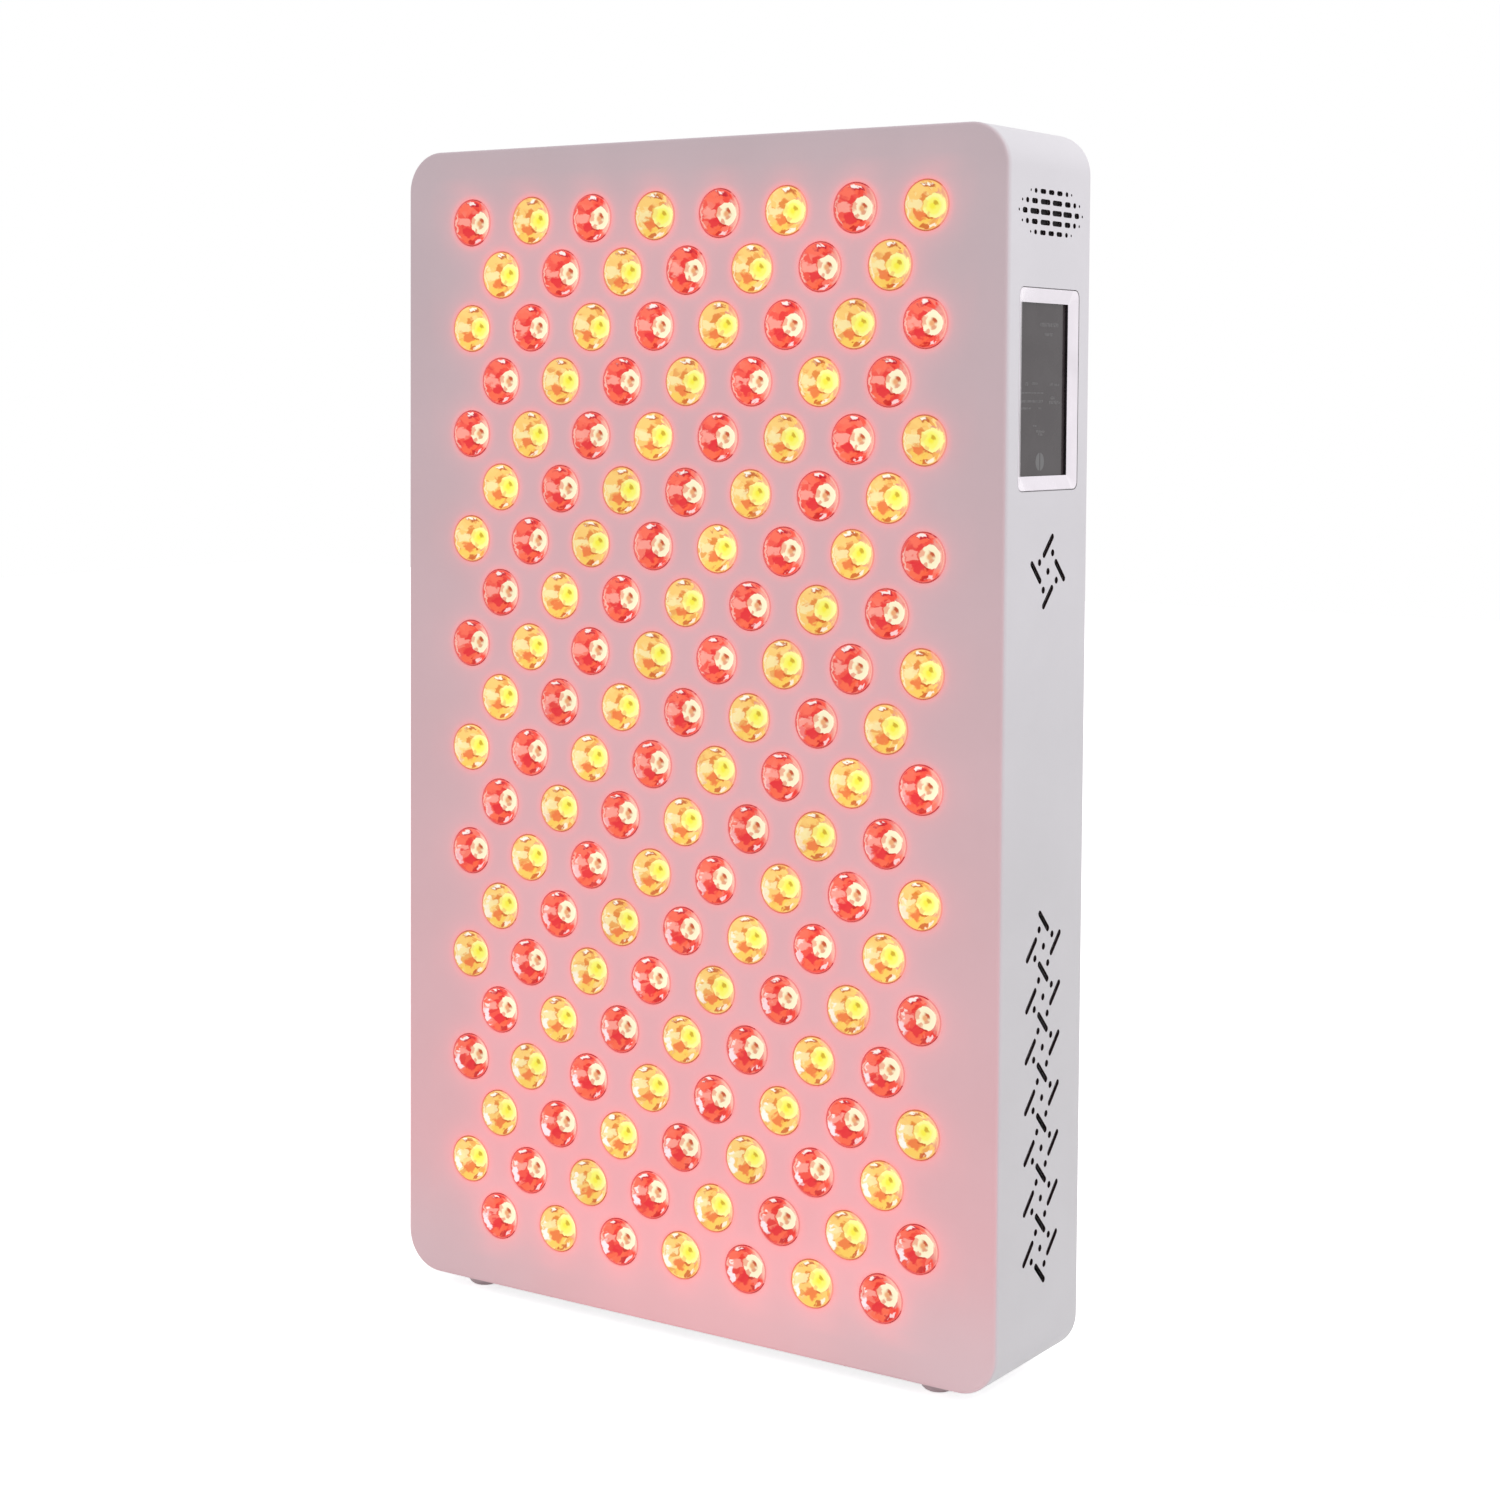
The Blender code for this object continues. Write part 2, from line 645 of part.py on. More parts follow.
def make_heat_sinks():
    """Extrusions with upright fins, behind the carrier plate and before the fans."""
    aluminium = surface("heat_sink_aluminium", (0.62, 0.63, 0.65), 0.4, 1.0)
    pitch = (HEAT_SINK_WIDTH - HEAT_SINK_FIN_THICKNESS) / (HEAT_SINK_FINS - 1)
    outline = [(HEAT_SINK_WIDTH / 2, 0), (-HEAT_SINK_WIDTH / 2, 0)]
    for fin in range(HEAT_SINK_FINS):
        left = -HEAT_SINK_WIDTH / 2 + fin * pitch
        right = left + HEAT_SINK_FIN_THICKNESS
        top = HEAT_SINK_BASE + HEAT_SINK_FIN_HEIGHT
        if fin:
            outline.append((left, HEAT_SINK_BASE))
        outline += [(left, top), (right, top)]
        if fin < HEAT_SINK_FINS - 1:
            outline.append((right, HEAT_SINK_BASE))
    for name, rise in FAN_RISES.items():
        place = (0, CARRIER_BACK_Y + FIT_GAP, MID_Z + rise)
        comb = sheet_mesh([outline], HEAT_SINK_LENGTH)
        piece(f"heat_sink_{name}", comb, place, aluminium)


def make_drivers():
    """Potted drivers in steel cases with a tab at each end, and the small supply."""
    steel = surface("driver_case_steel", (0.55, 0.56, 0.58), 0.4, 0.8)
    y = CARRIER_BACK_Y + FIT_GAP
    places = (
        (-DRIVER_X, MID_Z + DRIVER_LEFT_RISE),
        (-DRIVER_X, MID_Z - DRIVER_LEFT_RISE),
        (DRIVER_X, DRIVER_RIGHT_Z),
    )
    for number, (x, z) in enumerate(places, 1):
        case = block_mesh(DRIVER_WIDTH, DRIVER_DEPTH, DRIVER_LENGTH - 2 * DRIVER_TAB)
        place = (x, y + DRIVER_DEPTH / 2, z)
        driver = piece(f"led_driver_{number}", case, place, steel)
        edges = driver.modifiers.new("edges", "BEVEL")
        edges.width = DRIVER_EDGE_CUT
        edges.segments = 1
        tabs = block_mesh(DRIVER_WIDTH - 2 * DRIVER_TAB, DRIVER_TAB_THICKNESS, DRIVER_LENGTH)
        place = (x, y + DRIVER_TAB_THICKNESS / 2, z)
        join(driver, guide(f"driver_tabs_{number}", tabs, place))
    green = surface("supply_board", (0.10, 0.30, 0.20), 0.5)
    place = (DRIVER_X, y + SUPPLY_DEPTH / 2, SUPPLY_Z)
    piece("auxiliary_supply", block_mesh(SUPPLY_WIDTH, SUPPLY_DEPTH, SUPPLY_LENGTH), place, green)


def fan_screw_places():
    """The (x, z) of each fan screw with its fan's name."""
    half = FAN_SCREW_SPACING / 2
    return [
        (name, u * half, MID_Z + rise + v * half)
        for name, rise in FAN_RISES.items()
        for u in (-1, 1)
        for v in (-1, 1)
    ]


def make_fans():
    """Fan frames with struts and shaft at the back, and rotors that turn about Y."""
    black = surface("fan_frame_plastic", (0.03, 0.03, 0.035), 0.5)
    grey = surface("fan_rotor_plastic", (0.06, 0.06, 0.065), 0.45)
    middle = FAN_BACK_Y - FAN_DEPTH / 2
    base_middle = FAN_BACK_Y - FAN_BASE_THICKNESS / 2
    shaft_middle = FAN_BACK_Y - FAN_BASE_THICKNESS / 2 - FAN_SHAFT_LENGTH / 2
    screw_hole = SCREW_SHANK_RADIUS + FIT_GAP
    for name, rise in FAN_RISES.items():
        z = MID_Z + rise
        outlines = [
            rounded_rectangle(0, 0, FAN_SIZE, FAN_SIZE, FAN_CORNER_RADIUS, FAN_CORNER_STEPS),
            circle(0, 0, FAN_BORE_RADIUS, FAN_BORE_STEPS),
        ]
        for fan, x, screw_z in fan_screw_places():
            if fan == name:
                outlines.append(circle(x, screw_z - z, screw_hole, SCREW_SIDES))
        frame = piece(
            f"fan_frame_{name}", sheet_mesh(outlines, FAN_DEPTH), (0, middle, z), black, UPRIGHT
        )
        strut = FAN_BORE_RADIUS * 2 + FAN_STRUT_WIDTH / 2
        level = block_mesh(strut, FAN_BASE_THICKNESS, FAN_STRUT_WIDTH)
        upright = block_mesh(FAN_STRUT_WIDTH, FAN_BASE_THICKNESS, strut)
        base = rod_mesh(FAN_BASE_RADIUS, FAN_BASE_THICKNESS, FAN_BASE_STEPS)
        shaft = rod_mesh(FAN_SHAFT_RADIUS, FAN_SHAFT_LENGTH, FAN_SHAFT_STEPS)
        join(frame, guide(f"fan_struts_level_{name}", level, (0, base_middle, z)))
        join(frame, guide(f"fan_struts_upright_{name}", upright, (0, base_middle, z)))
        join(frame, guide(f"fan_base_{name}", base, (0, base_middle, z), UPRIGHT))
        join(frame, guide(f"fan_shaft_{name}", shaft, (0, shaft_middle, z), UPRIGHT))

        bore = FAN_SHAFT_RADIUS + FIT_GAP
        half = ROTOR_HUB_LENGTH / 2
        profile = ((bore, half), (ROTOR_HUB_RADIUS, half), (ROTOR_HUB_RADIUS, -half), (bore, -half))
        hub_y = FAN_BACK_Y - FAN_BASE_THICKNESS - ROTOR_BASE_CLEARANCE - half
        rotor = piece(
            f"fan_rotor_{name}", turned_mesh(profile, closed=True), (0, hub_y, z), grey, UPRIGHT
        )
        turn_profile(rotor, ROTOR_HUB_STEPS)
        blades = bmesh.new()
        length = ROTOR_TIP_RADIUS - ROTOR_HUB_RADIUS + ROTOR_BLADE_ROOT
        size = Matrix.Diagonal((length, ROTOR_BLADE_CHORD, ROTOR_BLADE_THICKNESS, 1))
        out = Matrix.Translation((ROTOR_TIP_RADIUS - length / 2, 0, 0))
        pitch = Matrix.Rotation(ROTOR_BLADE_PITCH, 4, "X")
        for blade in range(ROTOR_BLADES):
            spin = Matrix.Rotation(2 * math.pi * blade / ROTOR_BLADES, 4, "Z")
            bmesh.ops.create_cube(blades, size=1.0, matrix=spin @ out @ pitch @ size)
        mesh = finished_mesh("blades", blades)
        join(rotor, guide(f"fan_blades_{name}", mesh, (0, hub_y, z), UPRIGHT))


def make_screen():
    """The bezel in the right side, the glass and display behind it, and their housing."""
    gloss = surface("bezel_gloss_plastic", (0.86, 0.83, 0.88), 0.2)
    flange_back = SIDE_X - SHEET - FIT_GAP - BEZEL_FLANGE
    depth = SIDE_X - flange_back
    rim = rounded_rectangle(
        0, 0, BEZEL_WIDTH, BEZEL_HEIGHT, BEZEL_CORNER_RADIUS, BEZEL_CORNER_STEPS
    )
    place = (SIDE_X - depth / 2, SCREEN_Y, SCREEN_Z)
    bezel = piece("screen_bezel", sheet_mesh([rim], depth), place, gloss, SIDEWAYS)
    lip = block_mesh(BEZEL_FLANGE, BEZEL_WIDTH + 2 * BEZEL_LIP, BEZEL_HEIGHT + 2 * BEZEL_LIP)
    place = (flange_back + BEZEL_FLANGE / 2, SCREEN_Y, SCREEN_Z)
    join(bezel, guide("bezel_lip", lip, place))

    window_width = BEZEL_WIDTH - 2 * BEZEL_BORDER
    window_height = BEZEL_HEIGHT - 2 * BEZEL_BORDER
    slope = (BEZEL_BORDER - BEZEL_LAND) / BEZEL_SLOPE_DEPTH
    spread = 2 * slope * (BEZEL_SLOPE_DEPTH + CUT_OVERRUN)
    builder = bmesh.new()
    bmesh.ops.create_cube(builder, size=1.0)
    run = BEZEL_SLOPE_DEPTH + CUT_OVERRUN
    bmesh.ops.scale(builder, vec=(run, window_width, window_height), verts=builder.verts)
    mouth = [corner for corner in builder.verts if corner.co.x > 0]
    widen = (1, (window_width + spread) / window_width, (window_height + spread) / window_height)
    bmesh.ops.scale(builder, vec=widen, verts=mouth)
    taper = finished_mesh("bezel_slopes", builder)
    place = (SIDE_X - BEZEL_SLOPE_DEPTH + run / 2, SCREEN_Y, SCREEN_Z)
    cut(bezel, guide("bezel_slopes", taper, place))
    window = block_mesh(depth + 2 * CUT_OVERRUN, window_width, window_height)
    cut(bezel, guide("bezel_window", window, (SIDE_X - depth / 2, SCREEN_Y, SCREEN_Z)))

    width = window_width + 2 * GLASS_MARGIN
    height = window_height + 2 * GLASS_MARGIN
    glass_front = flange_back - FIT_GAP
    display_front = glass_front - GLASS_THICKNESS - FIT_GAP
    board_front = display_front - DISPLAY_THICKNESS - FIT_GAP
    chips_back = board_front - CONTROL_BOARD_THICKNESS - CONTROL_CHIP_HEIGHT
    dark = surface("screen_glass", (0.13, 0.125, 0.13), 0.08)
    steel = surface("display_frame", (0.45, 0.46, 0.48), 0.4, 0.8)
    green = surface("control_board", (0.08, 0.28, 0.18), 0.5)
    place = (glass_front - GLASS_THICKNESS / 2, SCREEN_Y, SCREEN_Z)
    piece("screen_glass", block_mesh(GLASS_THICKNESS, width, height), place, dark)
    place = (display_front - DISPLAY_THICKNESS / 2, SCREEN_Y, SCREEN_Z)
    piece("display_module", block_mesh(DISPLAY_THICKNESS, width, height), place, steel)
    place = (board_front - CONTROL_BOARD_THICKNESS / 2, SCREEN_Y, SCREEN_Z)
    board = piece(
        "control_board", block_mesh(CONTROL_BOARD_THICKNESS, width, height), place, green
    )
    chip_depth = CONTROL_CHIP_HEIGHT + CONTROL_BOARD_THICKNESS / 2
    chip = block_mesh(chip_depth, CONTROL_CHIP_SIZE, CONTROL_CHIP_SIZE)
    place = (chips_back + chip_depth / 2, SCREEN_Y, SCREEN_Z)
    join(board, guide("control_chip", chip, place))

    tray_front = flange_back - FIT_GAP
    tray_back = chips_back - FIT_GAP - SCREEN_HOUSING_WALL
    tray_depth = tray_front - tray_back
    outer = 2 * (FIT_GAP + SCREEN_HOUSING_WALL)
    grey = surface("screen_housing_plastic", (0.12, 0.12, 0.13), 0.55)
    tray = piece(
        "screen_housing",
        block_mesh(tray_depth, width + outer, height + outer),
        (tray_front - tray_depth / 2, SCREEN_Y, SCREEN_Z),
        grey,
    )
    room = block_mesh(tray_depth, width + 2 * FIT_GAP, height + 2 * FIT_GAP)
    place = (tray_front - tray_depth / 2 + SCREEN_HOUSING_WALL, SCREEN_Y, SCREEN_Z)
    cut(tray, guide("screen_housing_room", room, place))


def make_speaker():
    """A racetrack speaker against the inside of the grille."""
    black = surface("speaker_frame", (0.05, 0.05, 0.055), 0.6)
    outline = rounded_rectangle(
        0, 0, SPEAKER_LENGTH, SPEAKER_WIDTH, SPEAKER_WIDTH / 2, SPEAKER_END_STEPS
    )
    front = INNER_X - FIT_GAP
    y = FRONT_Y + GRILLE_FROM_FRONT
    place = (front - SPEAKER_DEPTH / 2, y, GRILLE_Z)
    speaker = piece("speaker", sheet_mesh([outline], SPEAKER_DEPTH), place, black, SIDEWAYS)
    magnet_length = MAGNET_DEPTH + SPEAKER_DEPTH / 2
    magnet = rod_mesh(MAGNET_RADIUS, magnet_length, MAGNET_SIDES)
    place = (front - SPEAKER_DEPTH / 2 - magnet_length / 2, y, GRILLE_Z)
    join(speaker, guide("speaker_magnet", magnet, place, SIDEWAYS))


def cover_screw_places():
    """The (x, z) of each screw round the rear cover."""
    x = INNER_X - COVER_SCREW_INSET
    z = PANEL_HEIGHT / 2 - SHEET - COVER_SCREW_INSET
    spread = PANEL_HEIGHT / 2 - CORNER_RADIUS - COVER_SCREW_FROM_CORNER
    sides = [(u * x, MID_Z + v * spread) for u in (-1, 1) for v in (-1, 0, 1)]
    return sides + [(0, MID_Z + z), (0, MID_Z - z)]


def keyhole(x, z):
    """A round hole with a narrower neck above it."""
    half_angle = math.asin(KEYHOLE_NECK_RADIUS / KEYHOLE_RADIUS)
    sweep = 2 * (math.pi - half_angle)
    start = math.pi / 2 + half_angle
    outline = []
    for i in range(KEYHOLE_STEPS + 1):
        angle = start + sweep * i / KEYHOLE_STEPS
        outline.append(
            (x + KEYHOLE_RADIUS * math.cos(angle), z + KEYHOLE_RADIUS * math.sin(angle))
        )
    for i in range(KEYHOLE_STEPS // 2 + 1):
        angle = 2 * math.pi * i / KEYHOLE_STEPS
        outline.append(
            (
                x + KEYHOLE_NECK_RADIUS * math.cos(angle),
                z + KEYHOLE_NECK_LENGTH + KEYHOLE_NECK_RADIUS * math.sin(angle),
            )
        )
    return outline


def guard_arcs(z):
    """The ring slots of one fan guard, left whole at its spokes."""
    outlines = []
    for ring in range(GUARD_RINGS):
        inner = GUARD_FIRST_RADIUS + ring * (GUARD_SLOT_WIDTH + GUARD_RIB)
        outer = inner + GUARD_SLOT_WIDTH
        for arc in range(GUARD_ARCS):
            edges = []
            for radius in (inner, outer):
                start = 2 * math.pi * arc / GUARD_ARCS + GUARD_SPOKE / 2 / radius
                sweep = 2 * math.pi / GUARD_ARCS - GUARD_SPOKE / radius
                angles = [start + sweep * i / GUARD_ARC_STEPS for i in range(GUARD_ARC_STEPS + 1)]
                edges.append([(radius * math.cos(a), z + radius * math.sin(a)) for a in angles])
            outlines.append(edges[0] + edges[1][::-1])
    return outlines


def make_rear_cover():
    """The flush rear sheet with fan guards, keyholes, screw holes and the inlet opening."""
    inset = SHEET + COVER_EDGE_GAP
    outline = rounded_rectangle(
        0,
        MID_Z,
        PANEL_WIDTH - 2 * inset,
        PANEL_HEIGHT - 2 * inset,
        CORNER_RADIUS - inset,
        CORNER_STEPS,
    )
    hole = SCREW_SHANK_RADIUS + FIT_GAP
    outlines = [outline]
    outlines += [circle(x, z, hole, SCREW_SIDES) for x, z in cover_screw_places()]
    outlines += [circle(x, z, hole, SCREW_SIDES) for _, x, z in fan_screw_places()]
    outlines += [keyhole(x, KEYHOLE_Z) for x in (-KEYHOLE_X, KEYHOLE_X)]
    for rise in FAN_RISES.values():
        outlines += guard_arcs(MID_Z + rise)
    outlines.append(
        rectangle(
            INLET_X,
            INLET_Z,
            INLET_BODY_WIDTH + 2 * FIT_GAP,
            INLET_BODY_HEIGHT + 2 * FIT_GAP,
        )
    )
    white = surface("white_rear_sheet", (0.80, 0.79, 0.81), 0.45)
    place = (0, COVER_FRONT_Y + SHEET / 2, 0)
    piece("rear_cover", sheet_mesh(outlines, SHEET), place, white, UPRIGHT)


def make_rails():
    """Angle strips inside the four walls, that the rear cover lies on."""
    zinc = surface("rail_zinc", (0.60, 0.61, 0.62), 0.45, 0.9)
    wide = FIT_GAP + RAIL_WIDTH
    thin = FIT_GAP + RAIL_THICKNESS
    front = RAIL_BACK_Y - RAIL_DEPTH
    back = RAIL_BACK_Y
    fold = RAIL_BACK_Y - RAIL_THICKNESS
    angle = ((FIT_GAP, front), (thin, front), (thin, fold), (wide, fold), (wide, back))
    outline = list(angle) + [(FIT_GAP, back)]
    tall = PANEL_HEIGHT - 2 * (CORNER_RADIUS + RAIL_END_GAP)
    broad = PANEL_WIDTH - 2 * (CORNER_RADIUS + RAIL_END_GAP)
    inner_z = PANEL_HEIGHT / 2 - SHEET
    rails = (
        ("left", outline, tall, (-INNER_X, 0, MID_Z), FLAT),
        ("right", mirrored(outline), tall, (INNER_X, 0, MID_Z), FLAT),
        ("bottom", outline, broad, (0, 0, MID_Z - inner_z), ACROSS),
        ("top", mirrored(outline), broad, (0, 0, MID_Z + inner_z), ACROSS),
    )
    hole = SCREW_SHANK_RADIUS + FIT_GAP
    circles = [circle(x, z, hole, SCREW_SIDES) for x, z in cover_screw_places()]
    reach = RAIL_THICKNESS + 2 * CUT_OVERRUN
    place = (0, RAIL_BACK_Y - RAIL_THICKNESS / 2, 0)
    tool = guide("rail_screw_holes", sheet_mesh(circles, reach), place, UPRIGHT)
    for name, shape, length, place, turn in rails:
        rail = piece(f"cover_rail_{name}", sheet_mesh([shape], length), place, zinc, turn)
        cut(rail, tool)


def make_screws():
    """Pan-head screws through the rear cover, into its rails and the fan frames."""
    steel = surface("screw_steel", (0.62, 0.62, 0.64), 0.3, 1.0)
    places = [("cover_screw", COVER_SCREW_LENGTH, x, z) for x, z in cover_screw_places()]
    places += [("fan_screw", FAN_SCREW_LENGTH, x, z) for _, x, z in fan_screw_places()]
    numbers = {"cover_screw": 0, "fan_screw": 0}
    for kind, length, x, z in places:
        numbers[kind] += 1
        profile = (
            (0, SCREW_HEAD_HEIGHT),
            (SCREW_HEAD_CROWN_RADIUS, SCREW_HEAD_HEIGHT),
            (SCREW_HEAD_RADIUS, 0),
            (SCREW_SHANK_RADIUS, 0),
            (SCREW_SHANK_RADIUS, -length),
            (0, -length),
        )
        place = (x, BACK_Y + FIT_GAP, z)
        screw = piece(
            f"{kind}_{numbers[kind]}", turned_mesh(profile), place, steel, FACING_BACK
        )
        turn_profile(screw, SCREW_SIDES)


def make_inlet():
    """The inlet housing with its socket, pins, fuse drawer and rocker."""
    black = surface("inlet_plastic", (0.035, 0.035, 0.04), 0.45)
    brass = surface("inlet_pin_nickel", (0.75, 0.72, 0.66), 0.3, 1.0)
    face_y = BACK_Y + FIT_GAP + INLET_FLANGE
    body_back = face_y - INLET_BODY_DEPTH
    margin = 2 * INLET_FLANGE_MARGIN
    flange = rounded_rectangle(
        0,
        0,
        INLET_BODY_WIDTH + margin,
        INLET_BODY_HEIGHT + margin,
        INLET_CORNER_RADIUS,
        INLET_CORNER_STEPS,
    )
    place = (INLET_X, face_y - INLET_FLANGE / 2, INLET_Z)
    housing = piece("power_inlet", sheet_mesh([flange], INLET_FLANGE), place, black, UPRIGHT)
    body_length = INLET_BODY_DEPTH - INLET_FLANGE / 2
    body = block_mesh(INLET_BODY_WIDTH, body_length, INLET_BODY_HEIGHT)
    place = (INLET_X, body_back + body_length / 2, INLET_Z)
    join(housing, guide("inlet_body", body, place))

    socket_z = INLET_Z - SOCKET_DROP
    socket = block_mesh(SOCKET_WIDTH, SOCKET_DEPTH + CUT_OVERRUN, SOCKET_HEIGHT)
    place = (INLET_X, face_y - (SOCKET_DEPTH - CUT_OVERRUN) / 2, socket_z)
    cut(housing, guide("socket_room", socket, place))
    floor_y = face_y - SOCKET_DEPTH
    pin_length = PIN_REACH + PIN_TAIL
    pin_y = floor_y + PIN_REACH - pin_length / 2
    pins = (
        ("live", -PIN_SPACING, -PIN_OUTER_DROP),
        ("earth", 0, PIN_EARTH_RISE),
        ("neutral", PIN_SPACING, -PIN_OUTER_DROP),
    )
    for name, x, z in pins:
        place = (INLET_X + x, pin_y, socket_z + z)
        piece(f"inlet_pin_{name}", block_mesh(PIN_WIDTH, pin_length, PIN_HEIGHT), place, brass)
        hole = block_mesh(PIN_WIDTH + 2 * FIT_GAP, pin_length, PIN_HEIGHT + 2 * FIT_GAP)
        cut(housing, guide(f"inlet_pin_hole_{name}", hole, place))

    drawer_z = INLET_Z + DRAWER_RISE
    room = block_mesh(
        DRAWER_WIDTH + 2 * FIT_GAP,
        DRAWER_DEPTH + FIT_GAP + CUT_OVERRUN,
        DRAWER_HEIGHT + 2 * FIT_GAP,
    )
    place = (INLET_X, face_y - (DRAWER_DEPTH + FIT_GAP - CUT_OVERRUN) / 2, drawer_z)
    cut(housing, guide("drawer_room", room, place))
    drawer = piece(
        "fuse_drawer",
        block_mesh(DRAWER_WIDTH, DRAWER_DEPTH, DRAWER_HEIGHT),
        (INLET_X, face_y - DRAWER_DEPTH / 2, drawer_z),
        surface("fuse_drawer_plastic", (0.05, 0.05, 0.055), 0.5),
    )
    lip = block_mesh(DRAWER_WIDTH + 2 * DRAWER_LIP_OVERHANG, DRAWER_LIP, DRAWER_HEIGHT)
    place = (INLET_X, face_y + FIT_GAP + DRAWER_LIP / 2, drawer_z)
    join(drawer, guide("drawer_lip", lip, place))
    neck_height = DRAWER_HEIGHT - 2 * DRAWER_LIP_OVERHANG
    neck = block_mesh(DRAWER_WIDTH, DRAWER_LIP + CUT_OVERRUN, neck_height)
    place = (INLET_X, face_y + DRAWER_LIP / 2, drawer_z)
    join(drawer, guide("drawer_neck", neck, place))

    rocker_z = INLET_Z + ROCKER_RISE
    pivot_y = face_y - ROCKER_PIVOT_DEPTH
    swing = ROCKER_HALF_LENGTH * math.cos(ROCKER_TILT) + ROCKER_SHOULDER * math.sin(ROCKER_TILT)
    pocket = block_mesh(
        2 * (swing + FIT_GAP),
        ROCKER_POCKET_DEPTH + CUT_OVERRUN,
        ROCKER_HEIGHT + 2 * FIT_GAP,
    )
    place = (INLET_X, face_y - (ROCKER_POCKET_DEPTH - CUT_OVERRUN) / 2, rocker_z)
    cut(housing, guide("rocker_pocket", pocket, place))
    profile = [
        (-ROCKER_HALF_LENGTH, ROCKER_SHOULDER),
        (0, ROCKER_SHOULDER - ROCKER_DISH),
        (ROCKER_HALF_LENGTH, ROCKER_SHOULDER),
        (ROCKER_KEEL, -ROCKER_KEEL_DEPTH),
        (-ROCKER_KEEL, -ROCKER_KEEL_DEPTH),
    ]
    pivot = bpy.data.objects.new("rocker_pivot", None)
    pivot.location = (INLET_X, pivot_y, rocker_z)
    parts.objects.link(pivot)
    rocker = piece(
        "power_rocker",
        sheet_mesh([profile], ROCKER_HEIGHT),
        (0, 0, 0),
        surface("rocker_plastic", (0.30, 0.02, 0.02), 0.35),
        (0, 0, -ROCKER_TILT),
    )
    rocker.parent = pivot


def make_mains_lead():
    """The lead from the inlet's back to the end of the lower right driver."""
    driver_end = DRIVER_RIGHT_Z - DRIVER_LENGTH / 2 + DRIVER_TAB - FIT_GAP
    driver_y = CARRIER_BACK_Y + FIT_GAP + DRIVER_DEPTH / 2
    inlet_y = BACK_Y + FIT_GAP + INLET_FLANGE - INLET_BODY_DEPTH - FIT_GAP
    start = Vector((INLET_X, inlet_y, INLET_Z + ROCKER_RISE))
    end = Vector((DRIVER_X, driver_y, driver_end))
    pull = (end - start).length / 2
    out = start - Vector((0, pull, 0))
    into = end - Vector((0, 0, pull))
    curve = bpy.data.curves.new("mains_lead", "CURVE")
    curve.dimensions = "3D"
    curve.bevel_depth = LEAD_RADIUS
    curve.bevel_resolution = LEAD_ROUNDING
    curve.use_fill_caps = True
    spline = curve.splines.new("POLY")
    spline.points.add(LEAD_POINTS - 1)
    for i, point in enumerate(spline.points):
        t = i / (LEAD_POINTS - 1)
        s = 1 - t
        spot = s**3 * start + 3 * s**2 * t * out + 3 * s * t**2 * into + t**3 * end
        point.co = (*spot, 1)
    curve.materials.append(surface("lead_sheath", (0.03, 0.03, 0.03), 0.6))
    parts.objects.link(bpy.data.objects.new("mains_lead", curve))


make_front_shell()
make_feet()
make_light_boards()
make_carrier_plate()
make_heat_sinks()
make_drivers()
make_fans()
make_screen()
make_speaker()
make_rear_cover()
make_rails()
make_screws()
make_inlet()
make_mains_lead()
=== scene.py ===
"""Red light therapy panel: the visible pieces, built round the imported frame.

Metres, +Z up, the lit front towards -Y. The pieces follow in the order in which the
panel is put together, and the studio comes last.
"""

import math

import bmesh
import bpy
import numpy as np
from mathutils import Matrix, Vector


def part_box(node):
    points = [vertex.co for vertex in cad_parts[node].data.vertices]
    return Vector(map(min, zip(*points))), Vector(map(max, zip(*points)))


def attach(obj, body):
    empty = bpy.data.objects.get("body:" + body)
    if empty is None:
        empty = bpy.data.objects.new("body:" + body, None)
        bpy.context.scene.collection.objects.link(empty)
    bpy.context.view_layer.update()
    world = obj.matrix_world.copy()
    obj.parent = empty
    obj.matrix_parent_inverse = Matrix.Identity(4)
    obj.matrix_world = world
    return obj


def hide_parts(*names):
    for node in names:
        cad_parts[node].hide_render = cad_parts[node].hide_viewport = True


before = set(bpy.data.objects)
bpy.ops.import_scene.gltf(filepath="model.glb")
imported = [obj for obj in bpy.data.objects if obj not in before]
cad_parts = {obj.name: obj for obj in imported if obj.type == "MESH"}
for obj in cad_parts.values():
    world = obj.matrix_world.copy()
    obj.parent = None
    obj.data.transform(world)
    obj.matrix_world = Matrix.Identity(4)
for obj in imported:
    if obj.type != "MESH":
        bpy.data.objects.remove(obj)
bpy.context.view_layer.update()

# Front shell: one sheet of 1.2 mm steel forms the lit front and the four sides, with no
# seam to be seen. It is punched for 150 lamps, and powder coated white all over.
shell_low, shell_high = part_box("front_shell")
front_y, back_y = shell_low.y, shell_high.y
half_width = shell_high.x
half_height = (shell_high.z - shell_low.z) / 2
mid_z = (shell_high.z + shell_low.z) / 2
sheet = 0.0012
corner_radius = 0.017
front_roll = 0.0015
lamp_rows, lamps_in_row = 20, 8
column_pitch, row_pitch = 0.0326, 0.0230
lamp_hole = 0.01015
hole_roll = 0.0004
across_steps, up_steps, arc_steps = 16, 8, 8

row = np.repeat(np.arange(lamp_rows), lamps_in_row - np.arange(lamp_rows) % 2)
column = np.concatenate([np.arange(lamps_in_row - r % 2) for r in range(lamp_rows)])
lamp_x = (column - (lamps_in_row - 1 - row % 2) / 2) * column_pitch
lamp_z = mid_z + ((lamp_rows - 1) / 2 - row) * row_pitch
lamp_is_amber = np.isin(row % 4, (1, 2)) == (column % 2 == 0)


